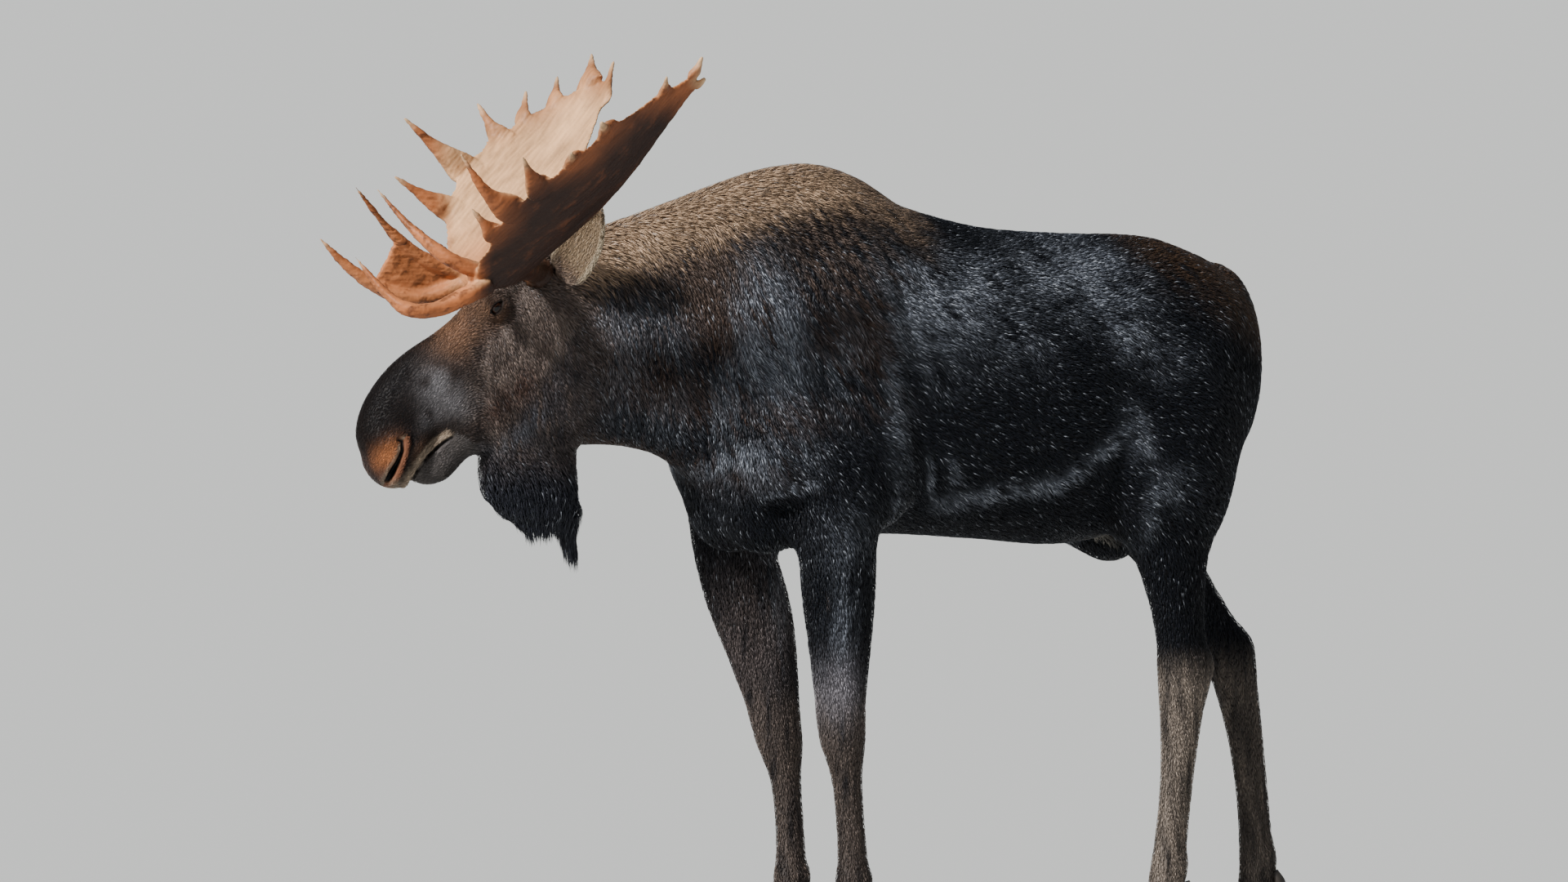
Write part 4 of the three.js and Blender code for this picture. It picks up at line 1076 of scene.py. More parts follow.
def coat_colour(p):
    """The markings at each point, as linear colours."""
    x, z = p[:, 0], p[:, 2]
    soft, hairs = ripple(p, 110, 1), strands(p, 12, 2)
    c = np.tile(BLACK, (len(p), 1))
    neck = rise((-60 - x) / 260) * rise((z - 1080) / 160)
    c = mixed(c, UMBER, neck * rise(0.5 + 0.5 * soft + 0.4 * hairs))
    shoulder = rise((160 - x) / 160) * rise((x + 420) / 160) * rise((z - 1200) / 200)
    c = mixed(c, UMBER, 0.8 * shoulder * rise(0.35 + 0.5 * soft + 0.4 * hairs))
    mane = mane_weight(p)
    top = barrel_at(np.clip(x, BARREL_START, BARREL_END))[:, 0]
    below = rise((z - top + 430) / 330) * rise((x + 860) / 200) * (1 - rise((x - 40) / 170))
    c = mixed(c, MANE_LOW, 0.75 * below * rise(0.8 + 0.4 * hairs + 0.3 * soft))
    # painted sheen: bluish highlights painted in streaks over the flat coat
    c = mixed(c, SHEEN_PAINT, 0.85 * painted_sheen(p))
    c = mixed(c, MANE_LOW, rise(mane * 1.25) * rise(0.9 + 0.3 * hairs))
    pale = (1 - 0.55 * rise((x + 90) / 170)) * rise(1.0 + 0.2 * hairs)
    c = mixed(c, MANE, rise(mane * 1.5 - 0.35 + 0.15 * hairs) * pale)
    rump = rise((x - 700) / 160) * rise((z - 1500 + 0.5 * (x - 850)) / 150)
    c = mixed(c, RUST, 0.8 * rump * rise(0.8 + 0.3 * hairs + 0.3 * soft))
    # painted shade in the elbow pocket
    c = mixed(c, BLACK, 0.9 * spot(x, z, (-203, 1064), (40, 26)))
    c = mixed(c, SHEATH, 0.95 * spot(x, z, (775, 938), (56, 44)) * (np.abs(p[:, 1]) < 90))
    behind = x > 500
    low = 1 - rise((z - 560 - 50 * behind) / 130)
    c = mixed(c, SHANK, low * ~behind * (0.85 + 0.25 * hairs))
    # the far hind shank is painted darker than the near one, as painted shade
    c = mixed(c, HIND_SHANK, low * behind * (0.8 + 0.25 * hairs) * np.where(p[:, 1] < 0, 1, 0.45))
    near = p[:, 1] < 0
    c = mixed(c, KNEE, 0.75 * near * spot(x, z, (-60, 650), (50, 75)))
    forearm = 0.7 * ~near * spot(x, z, (-110, 760), (120, 170))
    c = mixed(c, LEG_BROWN, forearm * rise(0.85 + 0.25 * hairs))
    c = face_colour(p, c)
    hanging = (1 - rise((bell(p) - 4) / 24)) * (1 - rise((z - 1120) / 130))
    c = mixed(c, BELL_DARK, hanging)
    return ear_colour(p, c)


# %% The skin as one piece
FLESH = ["trunk", "neck", "head", "jaw", "bell", "tail", "ear_left", "ear_right"]
FLESH += [f"{name}_{part}" for name in LEGS for part in ("upper", "lower")]


def skin_piece():
    mesh = bpy.data.meshes.new("skin")
    mesh.from_pydata(to_row(skin_points).tolist(), [], skin_faces)
    bm = bmesh.new()
    bm.from_mesh(mesh)
    bmesh.ops.recalc_face_normals(bm, faces=bm.faces)
    bm.to_mesh(mesh)
    bm.free()
    under = 0.75 + 0.2 * mane_weight(skin_points)[:, None]
    finish_piece(mesh, coat_colour(skin_points) * under, hide)
    piece = bpy.data.objects.new("skin", mesh)
    bpy.context.scene.collection.objects.link(piece)
    return piece


skin_object = shown(skin_piece(), FLESH)
print("skin painted", round(time.time() - STARTED, 1), "s")

# %% [markdown]
# ## The coat
# Every lock of hair is a thin three-sided blade with a bend in it, rooted just under the
# skin. It runs with the lie of the coat: back and down the neck, back along the flanks,
# down the legs, and from the nose up towards the ears on the face.

# %% Lie and length of the hair
EAR_GROWS = {side: np.array([1, side, 1]) * EAR_AXIS @ POLL_AXES for side in (1, -1)}


def lie_of_coat(p, normal):
    """The direction in which the hair points at each place, along the surface."""
    x, z = p[:, 0], p[:, 2]
    top = barrel_at(np.clip(x, BARREL_START, BARREL_END))[:, 0]
    degrees = flow_at(np.clip(x, -900, 1150))[:, 0]
    degrees = degrees * (1 - 0.6 * rise((z - top + 240) / 220))
    degrees = degrees + 9 * ripple(p, 70, 5)
    angle = np.radians(degrees)
    way = np.column_stack([np.cos(angle), np.zeros(len(p)), -np.sin(angle)])
    down = np.array([0.08, 0.0, -1.0])
    way = mixed(way, down, 1 - rise((z - 900) / 160))
    way = mixed(way, down, 1 - rise((bell(p) - 6) / 30))
    back = unit(-ALONG_FACE + np.array([0.0, 0.0, -0.25]))
    cheek = unit(np.array([0.45, 0.0, -0.8]))
    way = mixed(way, back, head_weight(p) * rise((z - 1060) / 60))
    way = mixed(way, cheek, head_weight(p) * cheek_weight(p))
    for side in (1, -1):
        s = ear_place(p, side)[0]
        way = mixed(way, EAR_GROWS[side], (1 - rise((ear(p, side) - 4) / 12)) * rise(s / 0.1))
    way = way - (way * normal).sum(axis=1, keepdims=True) * normal
    return unit(way)


def hair_sizes(p):
    """Length, width and height off the skin in millimetres, and locks for each square metre."""
    x, z = p[:, 0], p[:, 2]
    mane, face, cheek = mane_weight(p), head_weight(p), cheek_weight(p)
    on_ear = np.minimum(ear(p, 1), ear(p, -1)) < 5
    on_bell = on_bell_weight(p)
    shank = 1 - rise((z - 600) / 330)
    table = np.array([
        (27, 2.5, 8, 40e3),  # body
        (50, 2.4, 12, 54e3),  # mane
        (17, 2.1, 3.6, 46e3),  # lower legs
        (10, 1.7, 2.2, 90e3),  # face
        (24, 2.0, 5, 72e3),  # cheeks
        (44, 2.6, 18, 58e3),  # bell
        (17, 1.8, 3.4, 80e3),  # ears
    ])
    sizes = np.tile(table[0], (len(p), 1))
    for row, weight in zip(table[1:], (mane, shank, face, face * cheek, on_bell, on_ear * 1.0)):
        sizes = mixed(sizes, row, weight)
    return sizes.T


# %% Where the locks grow
def roots_on_skin():
    mesh = skin_object.data
    mesh.calc_loop_triangles()
    corners = np.empty(len(mesh.loop_triangles) * 3, np.int32)
    mesh.loop_triangles.foreach_get("vertices", corners)
    corners = skin_points[corners.reshape(-1, 3)]
    along, across = corners[:, 1] - corners[:, 0], corners[:, 2] - corners[:, 0]
    area = np.linalg.norm(np.cross(along, across), axis=1) / 2
    share = area * 1e-6 * hair_sizes(corners.mean(axis=1))[3] * DENSITY
    total = np.cumsum(share)
    count = int(total[-1])
    ticks = (np.arange(count) + rng.random(count)) / count * total[-1]
    chosen = corners[np.searchsorted(total, ticks).clip(0, len(total) - 1)]
    u, v = rng.random(count), rng.random(count)
    over = u + v > 1
    u, v = np.where(over, 1 - u, u)[:, None], np.where(over, 1 - v, v)[:, None]
    return chosen[:, 0] * (1 - u - v) + chosen[:, 1] * u + chosen[:, 2] * v


DENSITY = 0.93
roots = roots_on_skin()
normals = unit(slope_of(skin, roots, 1.5)[1])
print("locks:", len(roots), round(time.time() - STARTED, 1), "s")

bare = np.zeros(len(roots), bool)
face_place = to_face(roots)
face_place[:, 2] = np.abs(face_place[:, 2])
opening, from_eye = eye_opening(face_place)
bare |= (from_eye < EYE_RADIUS + 6) & (opening < 4)
on_nose = (face_place[:, 0] > 430) & (roots[:, 0] < -690)
gap, place = way_along(NOSTRIL, face_place[:, 0], face_place[:, 1])
bare |= on_nose & (gap < nostril_opening(place)[:, 0] + 6) & (face_place[:, 0] > 500)
bare |= on_nose & (way_along(MOUTH, face_place[:, 0], face_place[:, 1])[0] < 6)
roots, normals = roots[~bare], normals[~bare]


# %% Shape of the locks
def settled(points, height):
    """Points set at a height above the skin, so that hair follows every hollow."""
    d, g = slope_of(skin, points, 1.0)
    g = unit(g)
    return points + (height - d)[:, None] * g, g


def locks():
    length, width, height, _ = hair_sizes(roots)
    count = len(roots)
    length = length * rng.uniform(0.7, 1.25, count)
    width = width * rng.uniform(0.7, 1.3, count)
    height = height * rng.uniform(0.55, 1.05, count)
    way = lie_of_coat(roots, normals)
    side = np.cross(normals, way)
    turn = rng.normal(0, 0.13, count)[:, None]
    way = unit(way + side * turn)
    side = np.cross(normals, way)
    bend = side * (rng.normal(0, 0.07, count) * length)[:, None]
    middle_at = roots + way * (length * WIDEST)[:, None]
    tip_at = roots + way * length[:, None] + bend
    middle, middle_up = settled(middle_at, height * 0.8)
    tip, _ = settled(tip_at, height)
    hang = on_bell_weight(roots) * (1 - rise((roots[:, 2] - 1030) / 50))
    drop = length[:, None] * HANGING
    middle = mixed(middle, roots + drop * WIDEST + side * bend[:, :1] * 0.2, hang)
    tip = mixed(tip, roots + drop + bend, hang)
    half, thick = (width * 0.5)[:, None], (width * 0.38)[:, None]
    return np.stack([
        roots - normals * 1.2,
        middle - side * half,
        middle + side * half,
        middle + middle_up * thick,
        tip,
    ], axis=1)


WIDEST = 0.4
HANGING = unit(np.array([0.06, 0.0, -1.0]))
LOCK_FACES = np.array([(0, 1, 3), (0, 3, 2), (0, 2, 1), (4, 3, 1), (4, 2, 3), (4, 1, 2)])
LOCK_SHADE = np.array([0.55, 1.0, 1.0, 1.05, 1.2])
GLINT_SHADE = np.array([0.0, 0.9, 0.9, 1.0, 0.3])
LOCK_PATCH = np.array([(0, -1), (-1, 0), (1, 0), (0, 0.2), (0, 1)]) * 0.0015


def lock_colours():
    c = coat_colour(roots)
    count = len(c)
    mane = mane_weight(roots)
    c = c * np.exp(rng.normal(0, 1, count) * (0.3 - 0.12 * mane))[:, None]
    furred = (1 - head_weight(roots) * (1 - cheek_weight(roots))) * rise((roots[:, 2] - 700) / 250)
    body = furred * (1 - rise(mane * 3))
    sheen_here = painted_sheen(roots)
    # glints: some locks are painted pale as painted highlights, more where the painted sheen is strong, and a
    # few faint ones on the mane
    bright = rng.random(count) < 0.07 + 0.33 * sheen_here
    glint = bright * body * rng.uniform(0.1, 1, count) ** 1.5 * (0.6 + 0.4 * sheen_here)
    glint = glint * (1 - 0.7 * head_weight(roots)) + (rng.random(count) < 0.08) * mane * 0.3
    c = c[:, None, :] * LOCK_SHADE[None, :, None]
    return c + (GLINT - c) * (glint[:, None] * GLINT_SHADE)[..., None]


# %% [markdown]
# ## Coat pieces and their unwrap
# The coat is joined into a few pieces by body part. Each lock keeps a small patch on an
# unwrap of the body: round and along the trunk, each leg, the head, the ears and the bell.

# %% Unwraps
def round_and_along(angle, place, cell=0, cells=1):
    """Round a part as a share of a turn, and along it, inside one of several cells."""
    across = (cell + 0.02 + 0.96 * (angle / (2 * math.pi) + 0.5)) / cells
    return np.column_stack([across, np.clip(0.01 + 0.98 * place, 0.01, 0.99)])


def trunk_chart(p):
    drift = barrel_at(np.clip(p[:, 0], BARREL_START, BARREL_END))[:, 4]
    angle = np.arctan2(p[:, 1] - drift, p[:, 2] - 1380)
    return round_and_along(angle, (p[:, 0] + 950) / 2200)


def leg_chart(p):
    chart = np.zeros((len(p), 2))
    nearest = np.argmin([leg(p, name) for name in LEGS], axis=0)
    for i, name in enumerate(LEGS):
        rows = LEG_TABLES[name]
        x, y = (np.interp(p[:, 2], rows[:, 0], rows[:, k]) for k in (1, 2))
        placed = round_and_along(np.arctan2(p[:, 1] - y, p[:, 0] - x), p[:, 2] / 1000, i, len(LEGS))
        chart[nearest == i] = placed[nearest == i]
    return chart


def head_chart(p):
    q = to_face(p)
    return round_and_along(np.arctan2(q[:, 2], q[:, 1] - 20), (q[:, 0] + 100) / 780)


def ear_chart(p):
    chart = np.zeros((len(p), 2))
    left = ear(p, 1) < ear(p, -1)
    for side in (1, -1):
        s, u, v = ear_place(p, side)
        inner = v > -EAR["cup"] * 0.8
        cell = (side < 0) * 2 + inner
        across = (cell + 0.5 + 0.46 * np.clip(u / EAR["width"], -1, 1)) / 4
        mine = left if side > 0 else ~left
        chart[mine] = np.column_stack([across, 0.03 + 0.94 * np.clip(s, 0, 1)])[mine]
    return chart


def bell_chart(p):
    x, y = bell_at(np.clip(p[:, 2], BELL_END, BELL_START))[:, :2].T
    return round_and_along(np.arctan2(p[:, 1] - y, p[:, 0] - x), (p[:, 2] - 880) / 500)


def tail_chart(p):
    return round_and_along(np.arctan2(p[:, 1], p[:, 0] - 1160), (p[:, 2] - 1380) / 200)


# %% Coat pieces
MOST_LOCKS = 32000


def parts_of_coat():
    """The name and unwrap of each part, with the locks that grow on it."""
    on_ear = np.minimum(ear(roots, 1), ear(roots, -1)) < 6
    on_head = ~on_ear & (head_weight(roots) > 0.5) & (roots[:, 2] > 1040)
    on_bell = ~on_ear & ~on_head & (bell(roots) < 12) & (roots[:, 2] < 1230)
    on_tail = ~on_ear & (tail(roots) < 10)
    on_leg = (roots[:, 2] < 930) & ~on_bell
    rest = ~(on_ear | on_head | on_bell | on_tail | on_leg)
    return [
        ("ears", ear_chart, on_ear), ("head", head_chart, on_head), ("bell", bell_chart, on_bell),
        ("tail", tail_chart, on_tail), ("legs", leg_chart, on_leg), ("trunk", trunk_chart, rest),
    ]


corners = locks()
lock_paint = lock_colours()
coat_triangles = 0
for part, chart_of, chosen in parts_of_coat():
    places = np.flatnonzero(chosen)
    places = places[np.argsort(roots[places, 0], kind="stable")]
    for number, group in enumerate(np.array_split(places, math.ceil(len(places) / MOST_LOCKS)), 1):
        if not len(group):
            continue
        points = corners[group].reshape(-1, 3)
        faces = (np.arange(len(group))[:, None, None] * len(LOCK_SHADE) + LOCK_FACES).reshape(-1, 3)
        paint = lock_paint[group].reshape(-1, 3)
        charts = (chart_of(roots[group])[:, None, :] + LOCK_PATCH).reshape(-1, 2)
        piece = new_piece(f"coat_{part}_{number}", points, faces, paint, hair, charts)
        shown(piece, [])
        coat_triangles += len(faces)
print("coat:", coat_triangles, "triangles", round(time.time() - STARTED, 1), "s")

# %% [markdown]
# ## Lofts
# Antlers, eyes and hooves are rings of points joined into closed skins.

# %% Loft tools
def loft(rings, start, end):
    """A closed surface over rings of equal count, its ends closed on points."""
    rings = np.asarray(rings, float)
    count, around = rings.shape[:2]
    points = np.vstack([[start], rings.reshape(-1, 3), [end]])
    i = np.arange(around)
    j = (i + 1) % around
    row = 1 + np.arange(count - 1)[:, None] * around
    a, b, c, d = row + i, row + j, row + around + j, row + around + i
    halves = [np.stack(half, -1).reshape(-1, 3) for half in ([a, b, c], [a, c, d])]
    sides = np.concatenate(halves)
    first = np.stack([np.zeros(around, int), 1 + j, 1 + i], -1)
    base = 1 + (count - 1) * around
    last = np.stack([np.full(around, len(points) - 1), base + i, base + j], -1)
    return outward(points, np.concatenate([first, sides, last]))


def outward(points, faces):
    corners = points[faces]
    volume = np.einsum("ij,ij->i", corners[:, 0], np.cross(corners[:, 1], corners[:, 2])).sum()
    return points, faces if volume > 0 else faces[:, ::-1]


def joined(parts):
    start = np.cumsum([0] + [len(points) for points, _ in parts[:-1]])
    return np.vstack([p for p, _ in parts]), np.vstack([f + n for (_, f), n in zip(parts, start)])


def tube(line, girth, sides=14, flat=1.0, thin_way=None, steps=28):
    """A smooth tube through points; flat squeezes it along one direction, from start to end."""
    line = np.asarray(line, float)
    t = np.linspace(0, 1, steps)
    keys = np.linspace(0, 1, len(line))
    path = smooth_table([(k, *p) for k, p in zip(keys, line)])(t)
    radius = np.maximum(smooth_table([(k, r) for k, r in zip(keys, girth)])(t)[:, 0], 0.8)
    along = unit(np.gradient(path, axis=0))
    hint = np.array([0.31, 0.17, 0.94]) if thin_way is None else thin_way
    wide = unit(np.cross(hint, along))
    thin = np.cross(along, wide)
    angle = np.linspace(0, 2 * math.pi, sides, endpoint=False)
    squeeze = np.interp(t, np.linspace(0, 1, np.size(flat)), np.atleast_1d(flat))[:, None, None]
    ring = wide[:, None] * np.cos(angle)[:, None] + thin[:, None] * np.sin(angle)[:, None] * squeeze
    return loft(path[:, None] + ring * radius[:, None, None], path[0], path[-1])


# %% [markdown]
# ## Antlers
# Bone rubbed clean of velvet: a burr at the base, a round beam, a cupped palm with points
# along its outer edge, and a forked brow branch in front. The parts are made as separate
# closed forms, merged by a voxel remesh so that every fork is fleshed, and then the grooves
# that the blood vessels left are pressed in along the way of growth. The hollow of each palm is
# painted pale as painted light and its back dark as painted shade.

# %% Antler sizes
ANTLERS = {
    "left": {
        "side": 1,
        "beam": [(18, 62, -2), (34, 92, 0), (44, 112, 3), (90, 180, 8), (150, 250, -4), (205, 302, -14)],
        "inner": [
            (118, 238, -12), (16, 290, 73), (-50, 330, 141), (-109, 375, 214), (-172, 420, 306),
            (-256, 492, 446),
        ],
        "outer": [
            (230, 312, -12), (230, 420, 103), (188, 490, 179), (90, 544, 262), (-50, 568, 374),
            (-250, 522, 476),
        ],
        # place on the edge, tip, girth, sag, on the inner edge
        "points": [
            (0.21, (268, 440, 161), 13, 2, False), (0.36, (306, 500, 289), 18, 22, False),
            (0.5, (176, 580, 287), 17, 8, False), (0.64, (64, 600, 297), 14, 4, False),
            (0.76, (-3, 620, 366), 16, 4, False), (0.92, (-164, 600, 472), 12, 4, False),
            (1, (-262, 542, 516), 13, 4, False), (1, (-274, 520, 464), 11, 4, True),
        ],
        "brow_low": [
            (196, 300, -22), (262, 316, -52), (330, 330, -78), (394, 328, -78), (448, 300, -35),
            (508, 260, 45),
        ],
        "brow_high": [(200, 300, 6), (266, 306, 26), (322, 292, 62), (381, 250, 121), (436, 180, 198)],
        "brow_girth": (30, 27, 24, 21, 14, 2.5),
        "web": 0.16,
    },
    "right": {
        "side": -1,
        "beam": [(18, 62, -2), (34, 92, 0), (42, 112, 0), (66, 180, -10), (94, 240, -24), (124, 286, -34)],
        "inner": [
            (66, 222, -26), (-4, 268, 62), (-63, 300, 118), (-148, 360, 200), (-199, 402, 275),
            (-256, 474, 382),
        ],
        "outer": [
            (140, 300, -14), (168, 376, 70), (142, 448, 172), (68, 506, 266), (-72, 560, 348),
            (-262, 534, 436),
        ],
        "points": [
            (0.33, (269, 400, 208), 17, 4, False), (0.52, (233, 460, 344), 19, 4, False),
            (0.7, (31, 572, 374), 13, 4, False), (0.79, (-95, 604, 401), 12, 4, False),
            (0.88, (-174, 616, 434), 13, 4, False), (0.97, (-255, 604, 488), 19, 4, False),
            (1, (-293, 540, 471), 13, 4, True),
        ],
        "brow_low": [
            (120, 284, -44), (178, 290, -64), (240, 296, -76), (320, 294, -56), (405, 282, -2),
            (481, 260, 69),
        ],
        "brow_high": [(122, 284, -18), (180, 282, -6), (240, 268, 26), (314, 236, 84), (419, 160, 197)],
        "brow_girth": (27, 26, 26, 22, 15, 2.5),
        "web": 0.66,
    },
}
BEAM_GIRTH = (26, 36, 28, 26, 28, 24)
PALM = {"root": 30, "inner": 18, "outer": 11, "cup": 26, "scallop": 0.055}
CUP_WAY = np.array([-0.72, 0.42, -0.55])


# %% Antler forms
def placed(antler, q):
    return from_poll(np.asarray(q, float) * (1, antler["side"], 1))


def edge_at(points, t):
    keys = np.linspace(0, 1, len(points))
    return smooth_table([(k, *p) for k, p in zip(keys, points)])(t)


def palm_at(antler, t, w):
    """The sheet between the two edges: t from base to end, w from inner to outer edge."""
    swell = PALM["cup"] * 4 * w * (1 - w) * np.sin(np.pi * np.minimum(1, t * 0.8 + 0.2))
    inner, outer = edge_at(antler["inner"], t), edge_at(antler["outer"], t)
    return inner + (outer - inner) * w[..., None] + CUP_WAY * swell[..., None]


def palm_reach(antler, t):
    """The outer edge is drawn in between neighbouring points."""
    stops = [0.08] + [row[0] for row in antler["points"] if not row[4]]
    reach = np.ones_like(t)
    for low, high in zip(stops, stops[1:]):
        u = np.clip((t - low) / (high - low), 0, 1)
        reach -= PALM["scallop"] * 1.4 * np.sin(np.pi * u)
    return reach


def palm_form(antler):
    t = np.linspace(0, 1, 64)
    w = 0.5 - 0.5 * np.cos(np.linspace(0, np.pi, 22))
    half = PALM["inner"] + (PALM["outer"] - PALM["inner"]) * w
    half = half + (PALM["root"] - half) * np.maximum(0, 1 - t * 5)[:, None]
    half = half / 2 * (1 - 0.35 * t)[:, None] * (1 - np.abs(2 * w - 1) ** 5) ** 0.5
    middle = palm_at(antler, t[:, None], w[None] * palm_reach(antler, t)[:, None])
    front, back = middle - CUP_WAY * half[..., None], middle + CUP_WAY * half[..., None]
    rings = placed(antler, np.concatenate([front, back[:, -2:0:-1]], axis=1))
    return loft(rings, rings[0].mean(axis=0), rings[-1].mean(axis=0))


def point_forms(antler):
    """The points along the palm's edge, flattened and bent a little upwards."""
    thin = placed(antler, CUP_WAY) - placed(antler, (0, 0, 0))
    forms = []
    for at, tip, girth, sag, inner in antler["points"]:
        t = np.array([min(at, 0.985), min(at, 0.995)])
        w = np.array([0.3, 0.12] if inner else [0.8, 0.93])
        root, neck = palm_at(antler, t, w)
        middle = (neck + tip) / 2 - (0, 0, sag)
        line = placed(antler, [root, neck, middle, tip])
        girths = (girth * 1.5, girth * 2.1, girth * 0.85, 3.0)
        forms.append(tube(line, girths, 16, (0.2, 0.28, 0.8, 1), thin))
    return forms


def brow_forms(antler):
    girth = antler["brow_girth"]
    high = (girth[0] * 0.8, girth[1] * 0.9, girth[2] * 0.85, girth[3] * 0.6, 2.5)
    forms = [
        tube(placed(antler, antler["brow_low"]), girth, 16, 0.75, steps=40),
        tube(placed(antler, antler["brow_high"]), high, 16, 0.75, steps=40),
    ]
    t = np.linspace(0, 1, 20) * antler["web"]
    low, top = edge_at(antler["brow_low"], t), edge_at(antler["brow_high"], t * 1.05)
    out = unit(np.array([0.25, 1, 0.1]))
    half = (8 * (1 - 0.4 * t / antler["web"]))[:, None]
    across = np.linspace(0.05, 0.95, 8)
    front = [low + (top - low) * w + out * half for w in across]
    back = [low + (top - low) * w - out * half for w in across[::-1]]
    rings = placed(antler, np.stack(front + back, axis=1))
    return forms + [loft(rings, rings[0].mean(axis=0), rings[-1].mean(axis=0))]


# %% Merging and grooving an antler
ANTLER_VOXEL = 3.3
# bone colours; the pale hollow and the dark back are painted light and painted shade
ANTLER_HOLLOW_LIT = colour("#dca979")
ANTLER_BACK_SHADED = colour("#2c160b")
ANTLER_EDGE = colour("#955630")
ANTLER_STAIN = colour("#3b1d10")
ANTLER_BURR_AND_SHADE = colour("#2e1b11")
ANTLER_BROW = colour("#bb6c3c")
ANTLER_TIP = colour("#dcb98e")


def merged(points, faces, voxel):
    """One closed skin over forms that pass into each other."""
    mesh = bpy.data.meshes.new("merge")
    mesh.from_pydata(points.tolist(), [], faces.tolist())
    source = bpy.data.objects.new("merge", mesh)
    bpy.context.scene.collection.objects.link(source)
    remesh = source.modifiers.new("remesh", "REMESH")
    remesh.mode, remesh.voxel_size = "VOXEL", voxel
    smooth = source.modifiers.new("smooth", "SMOOTH")
    smooth.factor, smooth.iterations = 0.5, 4
    depsgraph = bpy.context.evaluated_depsgraph_get()
    made = bpy.data.meshes.new_from_object(source.evaluated_get(depsgraph))
    points = np.empty(len(made.vertices) * 3)
    made.vertices.foreach_get("co", points)
    normals = np.empty(len(made.vertices) * 3)
    made.vertices.foreach_get("normal", normals)
    faces = [list(p.vertices) for p in made.polygons]
    bpy.data.objects.remove(source)
    return points.reshape(-1, 3), normals.reshape(-1, 3), faces


def grain(p, long_way, width, length, seed):
    """Noise drawn out along one direction, as grooves on bone are."""
    along = p @ long_way
    across = p - along[:, None] * long_way
    q = across / width + (along / length)[:, None] * long_way + seed
    return np.array([noise.noise(Vector(v)) for v in q])


def antler_piece(word, antler):
    parts = [tube(placed(antler, antler["beam"]), BEAM_GIRTH, 22, steps=44), palm_form(antler)]
    parts = parts + point_forms(antler) + brow_forms(antler)
    points, normals, faces = merged(*joined(parts), ANTLER_VOXEL)
    base = placed(antler, antler["beam"][1])
    hub = placed(antler, antler["beam"][-1])
    end = placed(antler, antler["inner"][-1])
    in_front = rise(((points - hub) @ FORWARD + 10) / 70)
    growth = unit(end - hub)
    veins = grain(points, growth, 5.5, 60.0, 3.0) * (1 - in_front)
    veins += grain(points, FORWARD, 5.5, 50.0, 9.0) * in_front
    blotches = grain(points, growth, 18.0, 40.0, 7.0) + 0.5 * grain(points, UP, 6.0, 6.0, 4.0)
    swells = grain(points, growth, 46.0, 120.0, 5.0)
    from_base = np.linalg.norm(points - base, axis=1)
    burr = np.exp(-((np.abs((points - base) @ unit(base - placed(antler, antler["beam"][0]))) / 9) ** 2))
    burr *= 1 - rise((from_base - 50) / 20)
    pearls = grain(points, UP, 6.0, 6.0, 1.0)
    push = 2.4 * swells + 1.5 * veins + 1.2 * blotches + burr * (3 + 7 * pearls)
    points = points + normals * push[:, None]
    cup = unit(placed(antler, CUP_WAY) - placed(antler, (0, 0, 0)))
    # the hollow of the palm is painted pale as painted light and the back dark as painted shade: lit and
    # shaded copies of one bone, with brown patches on the back
    lit_hollow = rise(0.5 - 0.9 * (normals @ cup))
    low = (1 - rise((from_base - 170) / 170)) * lit_hollow
    patchy = rise(0.9 * blotches + 0.5 * swells - 0.05) * (0.45 + 0.4 * (1 - rise((from_base - 120) / 220)))
    dark = mixed(np.tile(ANTLER_BACK_SHADED, (len(points), 1)), ANTLER_EDGE, 0.6 * patchy)
    paint = mixed(dark, ANTLER_HOLLOW_LIT, lit_hollow)
    paint = mixed(paint, ANTLER_BROW, np.maximum(in_front * 0.85, 0.7 * low))
    tips = [row[1] for row in antler["points"]] + [antler["brow_low"][-1], antler["brow_high"][-1]]
    to_tip = np.min([np.linalg.norm(points - placed(antler, tip), axis=1) for tip in tips], axis=0)
    paint = mixed(paint, ANTLER_EDGE, 0.75 * (1 - rise((to_tip - 50) / 110)))
    stain = rise(blotches * 1.6) * (0.15 + 0.45 * in_front) + rise(veins * 1.6) * in_front * 0.35
    paint = mixed(paint, ANTLER_STAIN, stain)
    # darker at the burr: its own dark brown, deepened as painted shade
    paint = mixed(paint, ANTLER_BURR_AND_SHADE, 0.9 * (1 - rise((from_base - 45) / 90)))
    paint = mixed(paint, ANTLER_TIP, 0.7 * (1 - rise(to_tip / 50)))
    paint = paint * np.clip(1 + 0.35 * swells + 0.3 * veins, 0.3, 1.7)[:, None]
    mesh = bpy.data.meshes.new(f"antler_{word}")
    mesh.from_pydata(to_row(points).tolist(), [], faces)
    finish_piece(mesh, paint, bone)
    piece = bpy.data.objects.new(f"antler_{word}", mesh)
    bpy.context.scene.collection.objects.link(piece)
    return shown(piece, [f"antler_{word}_{part}" for part in ("beam", "palm", "brow")])


for word, antler in ANTLERS.items():
    piece = antler_piece(word, antler)
    print(piece.name, len(piece.data.polygons), "faces", round(time.time() - STARTED, 1), "s")

# %% [markdown]
# ## Eyes
# A dark wet ball: brown iris, a pupil drawn out sideways, and a cornea that stands a little
# proud, so that it catches the light.

# %% Eyes
IRIS = colour("#24130a")
PUPIL = colour("#040404")
WHITE_OF_EYE = colour("#1a120e")


